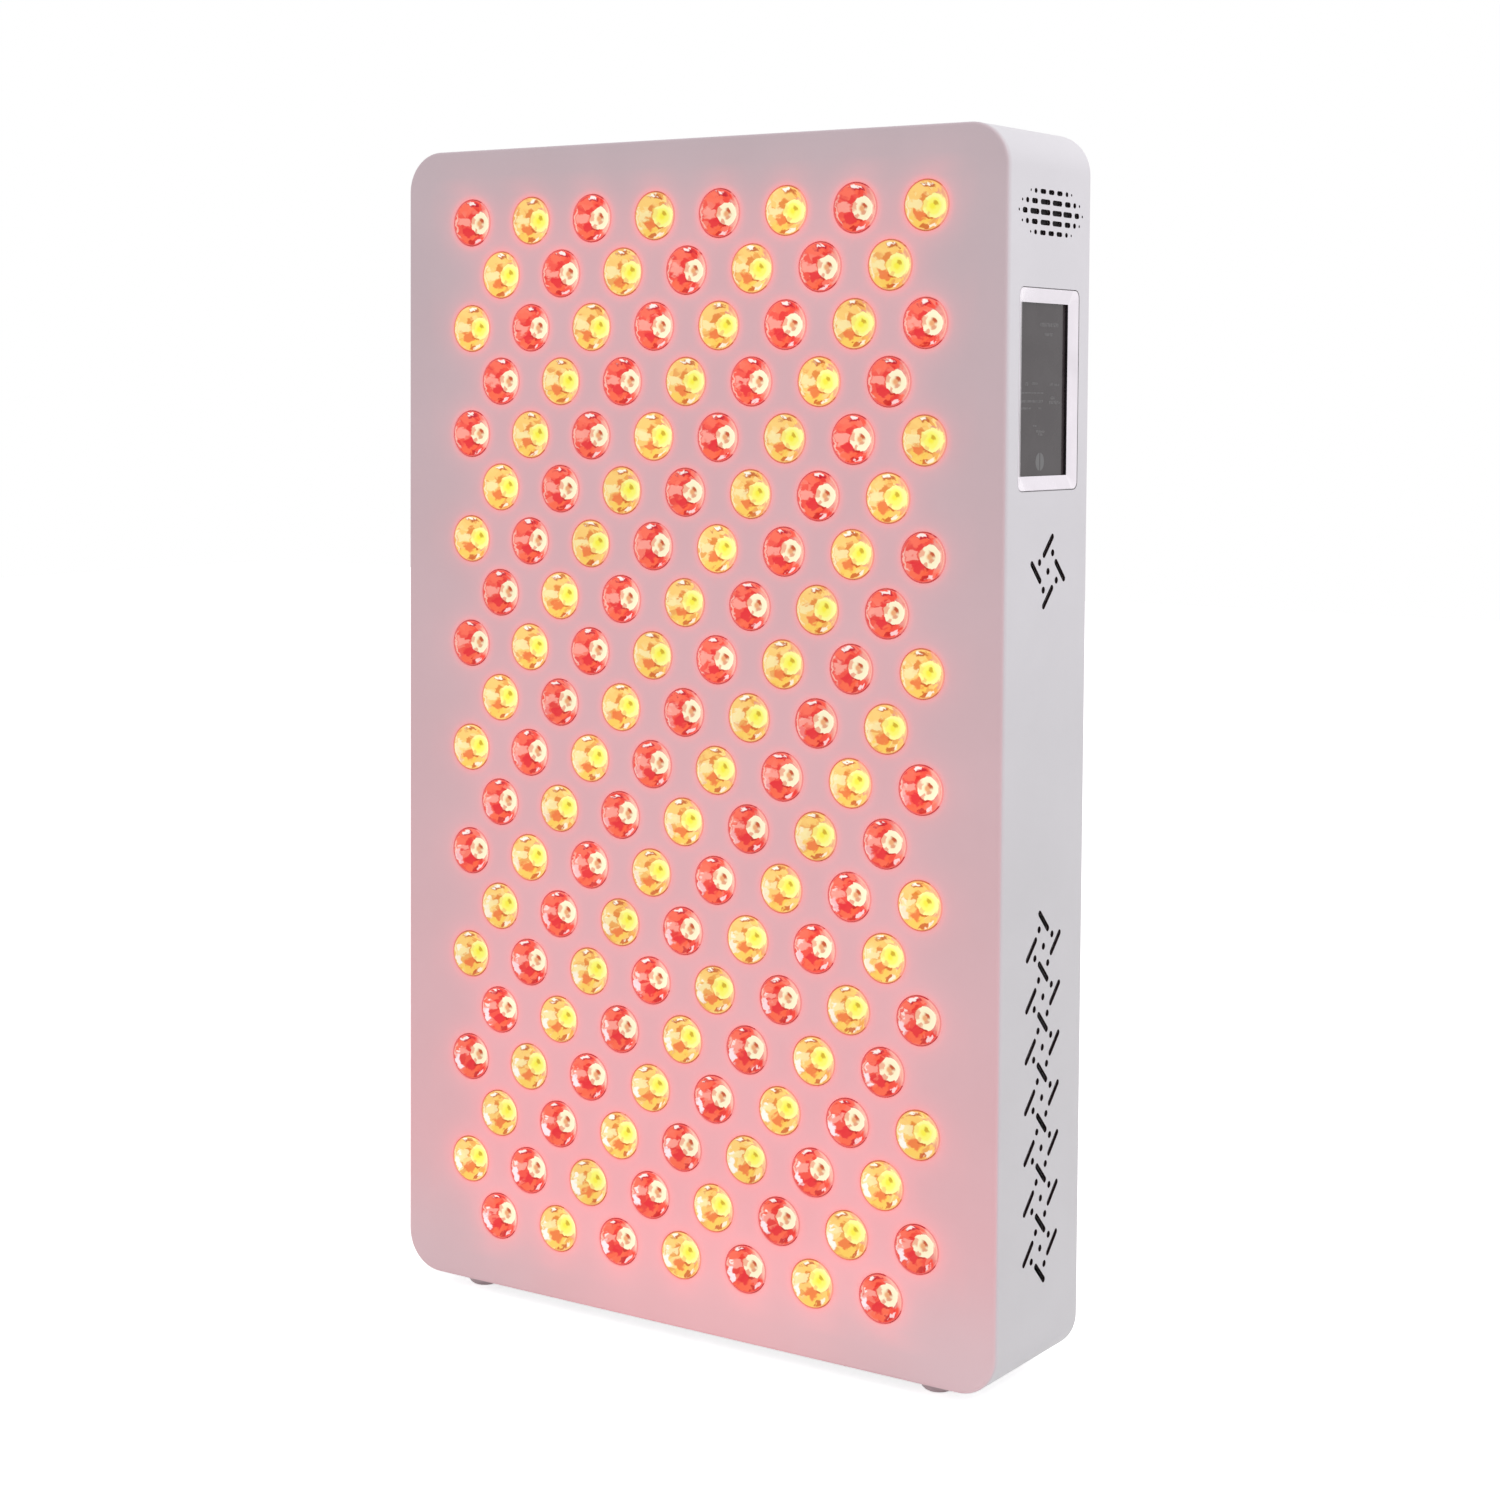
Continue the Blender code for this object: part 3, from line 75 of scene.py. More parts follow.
def grid_quads(rows, columns, around):
    """Corner numbers of a grid's quads, its points counted row by row. Around joins the
    last column to the first."""
    r = np.arange(rows - 1)[:, None]
    c = np.arange(columns if around else columns - 1)[None, :]
    d = (c + 1) % columns
    corners = (r * columns + c, (r + 1) * columns + c, (r + 1) * columns + d, r * columns + d)
    return np.stack(corners, -1).reshape(-1, 4)


def build(name, patches, sharp=20, merge=2e-6):
    """A mesh object from patches. Each patch is an array of point grids, [grid, row,
    column, xyz] or one [row, column, xyz], and whether its columns close up. Points that
    meet are merged, so a row that shrinks to one point closes a pole."""
    points, quads, count = [], [], 0
    for grids, around in patches:
        grids = np.asarray(grids, float)
        grids = grids.reshape(-1, *grids.shape[-3:])
        number, rows, columns, _ = grids.shape
        starts = count + np.arange(number)[:, None, None] * rows * columns
        quads.append((starts + grid_quads(rows, columns, around)).reshape(-1, 4))
        points.append(grids.reshape(-1, 3))
        count += number * rows * columns
    quads = np.concatenate(quads)
    mesh = bpy.data.meshes.new(name)
    mesh.vertices.add(count)
    mesh.vertices.foreach_set("co", np.concatenate(points).astype(np.float32).ravel())
    mesh.loops.add(quads.size)
    mesh.loops.foreach_set("vertex_index", quads.astype(np.int32).ravel())
    mesh.polygons.add(len(quads))
    mesh.polygons.foreach_set("loop_start", np.arange(0, quads.size, 4, dtype=np.int32))
    mesh.update(calc_edges=True)
    shape = bmesh.new()
    shape.from_mesh(mesh)
    bmesh.ops.remove_doubles(shape, verts=shape.verts, dist=merge)
    bmesh.ops.recalc_face_normals(shape, faces=shape.faces)
    shape.to_mesh(mesh)
    shape.free()
    mesh.shade_smooth()
    mesh.set_sharp_from_angle(angle=math.radians(sharp))
    made = bpy.data.objects.new(name, mesh)
    bpy.context.scene.collection.objects.link(made)
    return made


def apply_modifiers(target):
    """The target's mesh as its modifiers leave it."""
    graph = bpy.context.evaluated_depsgraph_get()
    mesh = bpy.data.meshes.new_from_object(target.evaluated_get(graph))
    target.modifiers.clear()
    target.data = mesh


def stacked(*columns):
    """Points from x, y and z arrays that broadcast to one shape."""
    return np.stack(np.broadcast_arrays(*columns), -1)


def on_circle(angle):
    """Points of a circle with radius one."""
    return np.stack((np.cos(angle), np.sin(angle)), -1)


def sides_of(along_of, across_of):
    """Points [n, (x, z)] counted up the right side, left along the top, down the left
    side and right along the bottom, from each side's own along and across."""
    placed = []
    for side, (c, s) in enumerate(((1, 0), (0, 1), (-1, 0), (0, -1))):
        along, across = along_of[side % 2], across_of[side % 2]
        placed.append(np.stack((c * across - s * along, c * along + s * across), -1))
    return np.concatenate(placed)


up_count = lamp_rows * up_steps
over_count = lamps_in_row * across_steps
block_half = (lamps_in_row * column_pitch / 2, lamp_rows * row_pitch / 2)


def housing_outline(inset):
    """The rounded outline, moved in by inset. Each side takes half of the arc at either
    end, and has as many points as the edge of the block of lamp cells."""
    radius = corner_radius - inset
    bend = np.linspace(math.pi / 4, 0, arc_steps + 1)[:-1]
    alongs, acrosses = [], []
    for half, other, steps in (
        (half_height, half_width, up_count),
        (half_width, half_height, over_count),
    ):
        reach = half - corner_radius
        straight = np.linspace(-reach, reach, steps - 2 * arc_steps + 1)
        low = -reach - radius * np.sin(bend)
        alongs.append(np.concatenate((low, straight, -low[:0:-1])))
        side = other - corner_radius + radius * np.cos(bend)
        flat = np.full(len(straight), other - inset)
        acrosses.append(np.concatenate((side, flat, side[:0:-1])))
    return sides_of(alongs, acrosses)


def rectangle(half_x, half_z, over, up):
    """A rectangle's edge, with as many points along its sides as over and up say."""
    alongs = [np.linspace(-half, half, n + 1)[:-1] for half, n in ((half_z, up), (half_x, over))]
    return sides_of(alongs, [np.full(up, half_x), np.full(over, half_z)])


def lamp_cells():
    """A cell round each lamp: rings from the back of the punched hole, up its wall and
    over its rolled lip, that widen into the cell's rectangle, front and back."""
    half_x, half_z = column_pitch / 2, row_pitch / 2
    edge = rectangle(half_x, half_z, across_steps, up_steps)
    corner = math.atan2(half_z, half_x)
    right = np.linspace(-corner, corner, up_steps + 1)[:-1]
    top = np.linspace(corner, math.pi - corner, across_steps + 1)[:-1]
    angle = np.concatenate((right, top, right + math.pi, top + math.pi))
    roll = np.linspace(0, math.pi / 2, 4)
    radii = [lamp_hole] + list(lamp_hole + hole_roll * (1 - np.cos(roll)))
    depths = [sheet] + list(hole_roll * (1 - np.sin(roll)))
    rings = [edge] + [radius * on_circle(angle) for radius in radii]
    depths = [sheet] + depths
    for share in (0.22, 0.55, 1.0):
        rings.append(rings[len(radii)] * (1 - share) + edge * share)
        depths.append(0)
    rings = np.array(rings)
    x = lamp_x[:, None, None] + rings[None, :, :, 0]
    z = lamp_z[:, None, None] + rings[None, :, :, 1]
    y = front_y + np.array(depths)[None, :, None]
    return stacked(x, y, z)


def half_cells():
    """The plain halves of cells at both ends of each short row, front and back."""
    along = np.linspace(0, column_pitch / 2, across_steps // 2 + 1)
    up = np.linspace(-row_pitch / 2, row_pitch / 2, up_steps + 1)
    middle = mid_z + ((lamp_rows - 1) / 2 - np.arange(1, lamp_rows, 2)) * row_pitch
    z = (middle[:, None] + up[None, :])[None, None, :, :, None]
    start = block_half[0] - column_pitch / 2
    x = np.array((-1, 1))[:, None, None, None, None] * (start + along)
    y = np.array((front_y, front_y + sheet))[None, :, None, None, None]
    grids = stacked(x, y, z)
    return grids.reshape(-1, *grids.shape[-3:])


def shell_wall():
    """Rings from the block of cells over the rolled front edge, along the side, round
    the back edge and back inside to the block."""
    turn = np.linspace(0, math.pi / 2, 8)
    inner_roll = front_roll - sheet
    lip, past_roll = 0.0003, front_roll + 0.0006
    insets = [past_roll, *(front_roll * (1 - np.sin(turn))), 0, 0, 0, 0, lip / 3]
    depths = [0, *(front_roll * (1 - np.cos(turn))), past_roll]
    depth = back_y - front_y
    depths += [depth / 2, depth - 0.0010, depth - lip, depth - lip / 3]
    insets += [lip, sheet - lip, sheet, sheet]
    depths += [depth, depth, depth - lip, past_roll]
    inner = turn[::-2]
    insets += list(sheet + inner_roll * (1 - np.sin(inner)))
    depths += list(sheet + inner_roll * (1 - np.cos(inner)))
    rings = [housing_outline(inset) for inset in insets]
    block = rectangle(*block_half, over_count, up_count)
    rings = [block, (block + rings[0]) / 2, *rings, block]
    depths = [0, 0, *depths, sheet]
    rings = np.array(rings)
    y = front_y + np.array(depths)[:, None]
    return stacked(rings[:, :, 0], y, mid_z + rings[:, :, 1])


shell = build("shell", [(lamp_cells(), True), (half_cells(), False), (shell_wall(), True)], 40)

# Openings in the sides: an oval grille over the speaker, the screen's window and one vent
# cell on the right, and a strip of seven vent cells low on either side, all punched.
grille_y, grille_z = front_y + 0.0361, mid_z + 0.2162
grille_row_pitch = 0.00403
grille_rows = {
    0: (0.0022, ((0.00495, 0.0082), (0.01395, 0.0076), (0.0220, 0.0041), (0.02685, 0.0012))),
    1: (0.0021, ((0.00505, 0.0082), (0.01395, 0.0050), (0.02005, 0.0026), (0.0242, 0.0012))),
    2: (0.0019, ((0.0, 0.0048), (0.0070, 0.0048), (0.01315, 0.0024), (0.01725, 0.0011))),
}
vent_y = front_y + 0.0368
vent_pitch = 0.0204
slit_length, slit_width = 0.0124, 0.0026
dot_radius, dot_reach, dot_angle = 0.00145, 0.0082, math.radians(62)
bezel_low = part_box("screen_bezel")[0]
glass_low, glass_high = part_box("screen_glass")
bezel_y = (glass_low.y + glass_high.y) / 2
bezel_z = (glass_low.z + glass_high.z) / 2
bezel_width, bezel_height, bezel_corner = 0.0503, 0.0794, 0.0030


def slot_outline(y, z, length, width, turn=0.0):
    """A stadium: two half circles joined by straight sides, turned about its middle."""
    angle = np.linspace(-math.pi / 2, math.pi / 2, 7)
    end = on_circle(angle) * width / 2
    end[:, 0] += (length - width) / 2 + 1e-5
    outline = np.concatenate((end, -end))
    c, s = math.cos(turn), math.sin(turn)
    return outline @ np.array(((c, s), (-s, c))) + (y, z)


def vent_cell(y, z, hand, slits):
    """Slits above, below and beside a middle hole, with four holes in the gaps."""
    arm = vent_pitch / 2
    angle = hand * math.radians(45)
    places = {"above": (0, arm, 1), "below": (0, -arm, 1), "left": (-arm, 0, -1)}
    places["right"] = (arm, 0, -1)
    outlines = []
    for slit in slits:
        dy, dz, sign = places[slit]
        outlines.append(slot_outline(y + dy, z + dz, slit_length, slit_width, sign * angle))
    dots = [(y, z)]
    for quarter in range(4):
        turn = dot_angle + quarter * math.pi / 2
        dots.append((y + hand * dot_reach * math.cos(turn), z + dot_reach * math.sin(turn)))
    return outlines + [slot_outline(*dot, 2 * dot_radius, 2 * dot_radius) for dot in dots]


def vent_strip():
    """Seven vent cells in a column, each sharing a slit with the next."""
    outlines = []
    for cell in range(7):
        z = mid_z - 0.0754 - cell * vent_pitch
        outlines += vent_cell(vent_y, z, -1, ("above", "left", "right"))
    foot = slot_outline(vent_y, z - vent_pitch / 2, slit_length, slit_width, -math.pi / 4)
    return outlines + [foot]


def speaker_grille():
    """Five rows of slots that shorten towards the ends of an oval."""
    outlines = []
    for number in range(-2, 3):
        height, slots = grille_rows[abs(number)]
        z = grille_z + number * grille_row_pitch
        for place, length in slots:
            for side in (-1, 1) if place else (1,):
                wide = min(length, height)
                outlines.append(slot_outline(grille_y + side * place, z, length, wide))
    return outlines


def rounded_outline(u, v, width, height, radius, steps=6, straight=2):
    """A rectangle with an arc at each corner and a few points along each side."""
    arcs = []
    for quarter, (right, up) in enumerate(((1, 1), (-1, 1), (-1, -1), (1, -1))):
        angle = (quarter + np.linspace(0, 1, steps + 1)) * math.pi / 2
        corner = (u + right * (width / 2 - radius), v + up * (height / 2 - radius))
        arcs.append(on_circle(angle) * radius + corner)
    share = np.linspace(0, 1, straight + 1)[1:-1, None]
    joined = []
    for arc, following in zip(arcs, arcs[1:] + arcs[:1]):
        joined += [arc, arc[-1] * (1 - share) + following[0] * share]
    return np.concatenate(joined)


def inset(outline, amount):
    """Each point moved in along its normal, which is square to the line from the point
    before it to the point after it."""
    along = np.roll(outline, -1, 0) - np.roll(outline, 1, 0)
    along = along / np.linalg.norm(along, axis=1, keepdims=True)
    return outline + amount * np.stack((-along[:, 1], along[:, 0]), -1)


def loft(outlines, heights, axis, ring=False):
    """Outlines in the plane of the two other axes, placed at heights along the axis. A
    ring joins its last outline to its first, and any other loft is capped at both ends."""
    outlines, heights = list(outlines), list(heights)
    if ring:
        outlines, heights = outlines + outlines[:1], heights + heights[:1]
    else:
        ends = [np.broadcast_to(end.mean(0), end.shape) for end in (outlines[0], outlines[-1])]
        outlines = [ends[0], *outlines, ends[1]]
        heights = [heights[0], *heights, heights[-1]]
    points = np.zeros((len(outlines), len(outlines[0]), 3))
    points[:, :, [other for other in range(3) if other != axis]] = outlines
    points[:, :, axis] = np.array(heights)[:, None]
    return points


def slab(outline, low, high, axis, edge=0.0003, steps=3):
    """An outline given thickness along the axis, with a quarter round at both edges and a
    last ring inside it that keeps the ends' shading flat."""
    turn = np.linspace(0, math.pi / 2, steps + 1)
    insets = edge * np.array((1.7, *(1 - np.sin(turn))))
    rises = edge * np.array((0.0, *(1 - np.cos(turn))))
    outlines = [inset(outline, amount) for amount in (*insets, *insets[::-1])]
    return loft(outlines, (*(low + rises), *(high - rises[::-1])), axis)


def punch(target, grids, sharp=20):
    """Cuts closed tools out of the target, and marks its new edges sharp."""
    tool = build("punch", [(grid, True) for grid in grids])
    cut = target.modifiers.new("punch", "BOOLEAN")
    cut.operation = "DIFFERENCE"
    cut.solver = "EXACT"
    cut.object = tool
    apply_modifiers(target)
    bpy.data.objects.remove(tool, do_unlink=True)
    target.data.shade_smooth()
    target.data.set_sharp_from_angle(angle=math.radians(sharp))


def through_side(outlines, side):
    """Tools that pass through the right or left side of the housing."""
    ends = sorted((side * (half_width + sheet), side * (half_width - 2 * sheet)))
    return [loft((outline, outline), ends, 0) for outline in outlines]


window = rounded_outline(
    bezel_y, bezel_z, bezel_width + 0.0006, bezel_height + 0.0006, bezel_corner + 0.0003
)
single_vent = vent_cell(vent_y, mid_z + 0.0747, 1, ("above", "below", "left", "right"))
right_side = speaker_grille() + single_vent + vent_strip() + [window]
punch(shell, through_side(right_side, 1) + through_side(vent_strip(), -1))


def vertex_places(mesh):
    """The mesh's points as an array."""
    flat = np.zeros(len(mesh.vertices) * 3, np.float32)
    mesh.vertices.foreach_get("co", flat)
    return flat.reshape(-1, 3)


def hold(mesh, label, values):
    """Keeps a value for each point under a label that materials read."""
    attribute = mesh.attributes.new(label, "FLOAT", "POINT")
    attribute.data.foreach_set("value", values.astype(np.float32))


wash_reach = 0.005
places = vertex_places(shell.data)
gaps = np.hypot(places[:, None, 0] - lamp_x, places[:, None, 2] - lamp_z) - lamp_hole
hold(shell.data, "lamp_gap", gaps.min(1) * 1000)
hold(shell.data, "lamp_wash", np.exp(-np.maximum(gaps, 0) / wash_reach).sum(1))


class Bench:
    """A node tree to wire up: calls add nodes, and link or set their inputs."""

    def __init__(self, tree):
        self.tree = tree

    def node(self, kind, settings=(), **inputs):
        made = self.tree.nodes.new(kind)
        for key, value in dict(settings).items():
            setattr(made, key, value)
        self.fill(made.inputs, **inputs)
        return made

    def feed(self, socket, value):
        if isinstance(value, bpy.types.NodeSocket):
            self.tree.links.new(value, socket)
        elif isinstance(value, tuple) and len(value) < len(socket.default_value):
            socket.default_value = (*value, 1.0)
        else:
            socket.default_value = value

    def fill(self, sockets, **values):
        for label, value in values.items():
            self.feed(sockets[label.replace("_", " ")], value)

    def outcome(self, made, *values):
        """What a node makes of the values, which fill its inputs from the first one on."""
        for socket, value in zip(made.inputs, values):
            self.feed(socket, value)
        return made.outputs[0]

    def math(self, operation, a, b=0.0, c=0.0, clamp=False):
        made = self.node("ShaderNodeMath", {"operation": operation, "use_clamp": clamp})
        return self.outcome(made, a, b, c)

    def range(self, value, low, high, to_low=0.0, to_high=1.0, kind="SMOOTHSTEP"):
        made = self.node("ShaderNodeMapRange", {"interpolation_type": kind})
        return self.outcome(made, value, low, high, to_low, to_high)

    def mix(self, share, a, b, blend="MIX"):
        made = self.node("ShaderNodeMix", {"data_type": "RGBA", "blend_type": blend})
        for place, value in ((0, share), (6, a), (7, b)):
            self.feed(made.inputs[place], value)
        return made.outputs[2]

    def times(self, *values):
        made = values[0]
        for value in values[1:]:
            made = self.math("MULTIPLY", made, value)
        return made

    def scaled(self, value, by, plus):
        return self.math("MULTIPLY_ADD", value, by, plus)

    def off(self, value, middle):
        return self.math("ABSOLUTE", self.math("SUBTRACT", value, middle))

    def turned_off(self, angle, middle):
        """How far an angle lies from the middle, in turns, the shorter way round."""
        whole = self.math("ADD", self.math("SUBTRACT", angle, middle), 1.5)
        return self.off(self.math("FRACT", whole), 0.5)

    def tinted(self, colour, tint):
        return self.mix(1.0, colour, tint, "MULTIPLY")

    def place(self):
        return self.node("ShaderNodeTexCoord").outputs["Object"]

    def axes(self, vector):
        return self.node("ShaderNodeSeparateXYZ", Vector=vector).outputs

    def held(self, label):
        return self.node("ShaderNodeAttribute", {"attribute_name": label}).outputs["Fac"]

    def noise(self, vector, scale, detail=2.0):
        made = self.node("ShaderNodeTexNoise", Vector=vector, Scale=scale, Detail=detail)
        return made.outputs["Fac"]


def finish(name, **settings):
    """A Principled material with some of its sockets set, and the bench that wires it."""
    made = bpy.data.materials.new(name)
    made.use_nodes = True
    bench = Bench(made.node_tree)
    shader = made.node_tree.nodes["Principled BSDF"]
    bench.fill(shader.inputs, **settings)
    return made, bench, shader


def effect(name, inputs, outputs):
    """An empty node group with named sockets, its bench, and its two ends."""
    tree = bpy.data.node_groups.new(name, "ShaderNodeTree")
    for direction, sockets in (("INPUT", inputs), ("OUTPUT", outputs)):
        for label, kind in sockets:
            tree.interface.new_socket(label, in_out=direction, socket_type=f"NodeSocket{kind}")
    bench = Bench(tree)
    return tree, bench, bench.node("NodeGroupInput").outputs, bench.node("NodeGroupOutput").inputs


def finish_effect(name, *more):
    """A group that turns a colour and a place into colour, roughness and height."""
    inputs = [("Colour", "Color"), ("Place", "Vector"), *more]
    return effect(name, inputs, [("Colour", "Color"), ("Roughness", "Float"), ("Height", "Float")])


def use(bench, tree, **inputs):
    """A group placed in a material."""
    return bench.node("ShaderNodeGroup", {"node_tree": tree}, **inputs).outputs


def bump(bench, shader, height, strength, distance):
    """A height that roughens the shader's surface."""
    made = bench.node("ShaderNodeBump", Height=height, Strength=strength, Distance=distance)
    bench.fill(shader.inputs, Normal=made.outputs[0])


def cover_in(bench, shader, group, colour, strength, distance, **more):
    """Lets a finish group give a shader its colour, roughness and bump."""
    made = use(bench, group, Colour=colour, Place=bench.place(), **more)
    bench.fill(shader.inputs, Base_Color=made["Colour"], Roughness=made["Roughness"])
    bump(bench, shader, made["Height"], strength, distance)


def made_of(name, group, colour, strength, distance, **settings):
    """A material whose whole surface is one finish group."""
    more = {label: settings.pop(label) for label in ("Stretch", "Gloss") if label in settings}
    material, bench, shader = finish(name, **settings)
    cover_in(bench, shader, group, colour, strength, distance, **more)
    return material


def paint(piece, material):
    """Gives a piece one material, in place of any that it has."""
    piece.data.materials.clear()
    piece.data.materials.append(material)


def dress(material, *nodes):
    """Gives a new finish to CAD nodes whose shape stays."""
    for node in nodes:
        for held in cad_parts[node].material_slots:
            held.material = material


# Powder coat has a fine, soft orange peel and faint cloudiness
powder_coat, bench, given, gives = finish_effect("powder_coat")
cloud = bench.noise(given["Place"], 22.0, 3.0)
peel = bench.noise(given["Place"], 900.0, 2.0)
grit = bench.noise(given["Place"], 3200.0, 1.0)
tone = bench.range(cloud, 0.3, 0.7, 0.975, 1.015, "LINEAR")
uneven = bench.range(peel, 0.25, 0.75, 0.42, 0.54, "LINEAR")
height = bench.scaled(grit, 0.35, peel)
bench.fill(gives, Colour=bench.tinted(given["Colour"], tone), Roughness=uneven, Height=height)

coat_white = (0.700, 0.680, 0.706)

# The lamps' light on the coat is painted: a pink fringe and halo round each hole, the wash of all lamps
# together and a rise towards the foot, as tint and glow. The sides get painted light, paler aloft and pink
# at the fold, and the walls of their punched slots are painted dark as shade.
material, bench, shader = finish("shell_powder_coat")
x, y, z = bench.axes(bench.place())
lit = bench.range(y, front_y + front_roll * 0.9, front_y + 0.0001)
low_share = bench.range(z, mid_z + half_height, mid_z - half_height, kind="LINEAR")
gap_mm, wash = bench.held("lamp_gap"), bench.held("lamp_wash")
fringe = bench.math("EXPONENT", bench.times(gap_mm, -1.0))
halo = bench.math("EXPONENT", bench.times(gap_mm, gap_mm, -0.28))
foot = bench.range(z, mid_z - 0.180, mid_z - 0.248)
# Painted lamp light: the front is tinted pink, less so near the foot.
front_glow_tint = bench.mix(foot, (1.0, 0.822, 0.853), (1.0, 0.945, 0.970))
# Painted light on the sides: paler aloft, and pink lamp light at the fold.
aloft = bench.range(z, mid_z - 0.150, mid_z + 0.190)
side_light_tint = bench.mix(aloft, (0.940, 0.938, 0.942), (1.070, 1.062, 1.085))
fold = bench.range(y, front_y + 0.0038, front_y + 0.0012)
side_light_tint = bench.mix(bench.times(fold, 0.9), side_light_tint, (0.985, 0.905, 0.935))
fringe_tint = bench.mix(bench.times(fringe, lit), (1.0, 1.0, 1.0), (1.0, 0.86, 0.81))
tint = bench.tinted(bench.mix(lit, side_light_tint, front_glow_tint), fringe_tint)
# Painted shade: the walls of the punched slots are near black.
wall_skin, wall_fade = 0.00005, 0.00005
beside = bench.math("SUBTRACT", half_width, bench.math("ABSOLUTE", x))
slot_wall_shade = bench.times(
    bench.range(beside, wall_skin, wall_skin + wall_fade),
    bench.range(beside, sheet - 0.00003, sheet - 0.00003 - wall_fade),
    bench.math("LESS_THAN", bench.off(z, mid_z), half_height - corner_radius - sheet),
    bench.math("GREATER_THAN", y, front_y + 4 * sheet),
    bench.math("LESS_THAN", y, back_y - 2 * sheet),
)
coat = bench.mix(slot_wall_shade, bench.tinted(coat_white, tint), (0.020, 0.008, 0.010))
cover_in(bench, shader, powder_coat, coat, 0.35, 0.00005)
# Painted lamp light as glow: the halo, the wash of all lamps and a rise towards the foot.
ramp = bench.math("POWER", low_share, 1.3)
rise = bench.times(halo, bench.scaled(ramp, -0.75, 1.0), 0.19)
end_share = bench.math("POWER", bench.off(low_share, 0.5), 2.0)
rise = bench.scaled(wash, bench.scaled(end_share, 0.50, 0.135), rise)
middle = bench.range(bench.math("ABSOLUTE", x), 0.120, 0.020, -0.38, 0.22)
ramp = bench.times(ramp, bench.scaled(foot, middle, 1.0))
glow = bench.times(bench.scaled(ramp, 0.23, rise), lit)
glow = bench.mix(glow, (0.0, 0.0, 0.0), (1.0, 0.03, 0.03))
bench.fill(shader.inputs, Emission_Color=glow, Emission_Strength=1.0)
paint(shell, material)
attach(shell, "panel")
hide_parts("front_shell")

# Lamps: each is a moulded acrylic cone over one LED, in sheets of thirty that lie behind the front with
# their lips in its holes. The LED's reflections in the cone's facets and the studio's highlights on it are
# painted on the opaque cone, as colour and glow.
lens_radius = 0.0100
cup_profile = (
    (10.00, 1.20), (10.00, 0.15), (9.92, -0.05), (9.75, -0.12), (9.58, -0.05), (9.46, 0.15),
    (8.30, 1.38), (6.40, 3.40), (4.62, 5.28), (4.48, 5.36), (2.15, 5.36), (1.90, 5.25),
    (0.90, 5.14), (0.00, 5.10),
)
cup_back = ((0.00, 6.20), (4.80, 6.20), (9.40, 2.00), (10.00, 1.20))
cup_sides, facets = 32, 8


def lens_cups(chosen):
    """Each profile, as radius and depth behind the front in mm, turned about the lamp's
    axis. Between the lip and the LED the section goes over from a circle to an octagon."""
    profile = np.array(cup_back + cup_profile[1:]) / 1000
    radius, depth = profile[:, 0], profile[:, 1]
    angle = np.arange(cup_sides) * 2 * math.pi / cup_sides
    wedge = math.pi / facets
    flat = math.cos(wedge) / np.cos((angle + wedge) % (2 * wedge) - wedge)
    share = np.interp(radius, (0.0040, 0.0050, 0.0066, 0.0088), (0, 0.6, 1, 0))
    share[: len(cup_back)] = 0
    reach = radius[:, None] * (1 + share[:, None] * (flat[None, :] * 1.04 - 1))
    x = lamp_x[chosen, None, None] + reach * np.cos(angle)
    z = lamp_z[chosen, None, None] + reach * np.sin(angle)
    return stacked(x, front_y + depth[:, None], z)


def mark_lamps(mesh):
    """Gives each point its lamp's colour, chance value, height and the turn of its painted reflections, and
    each corner its place over the lamp's face, from -1 to 1, as a UV map."""
    points = vertex_places(mesh)
    nearest = np.hypot(points[:, None, 0] - lamp_x, points[:, None, 2] - lamp_z).argmin(1)
    chance, sway = np.random.default_rng(11).random((2, len(lamp_x)))
    drop = (mid_z + half_height - lamp_z) / (2 * half_height)
    hold(mesh, "amber", lamp_is_amber[nearest])
    hold(mesh, "chance", chance[nearest])
    hold(mesh, "low", np.clip((drop - 0.42) / 0.36, 0, 1)[nearest])
    hold(mesh, "sway", (0.03 * (sway - 0.5) - 0.075 * drop)[nearest])
    corner = np.zeros(len(mesh.loops), np.int32)
    mesh.loops.foreach_get("vertex_index", corner)
    local = (points[:, (0, 2)] - np.stack((lamp_x, lamp_z), -1)[nearest]) / lens_radius
    flat = mesh.uv_layers.new(name="lamp_face")
    flat.data.foreach_set("uv", (local[corner] / 2 + 0.5).astype(np.float32).ravel())


def srgb(*levels):
    """A colour written in 0 to 255, as linear light."""
    share = np.array(levels) / 255
    return tuple(np.where(share <= 0.04045, share / 12.92, ((share + 0.055) / 1.055) ** 2.4).tolist())


# A painted reflection patch lies round the lamp near At, and from Low to High outwards
mirror_patch, bench, given, gives = effect(
    "mirror_patch",
    [(label, "Float") for label in ("Turn", "Reach", "At", "Half", "Low", "High")],
    [("Mask", "Float")],
)
off = bench.turned_off(given["Turn"], given["At"])
beside = bench.range(off, given["Half"], bench.times(given["Half"], 0.5))
start = bench.range(bench.math("SUBTRACT", given["Reach"], given["Low"]), -0.025, 0.025)
stop = bench.range(bench.math("SUBTRACT", given["Reach"], given["High"]), 0.025, -0.025)
bench.fill(gives, Mask=bench.times(beside, start, stop))

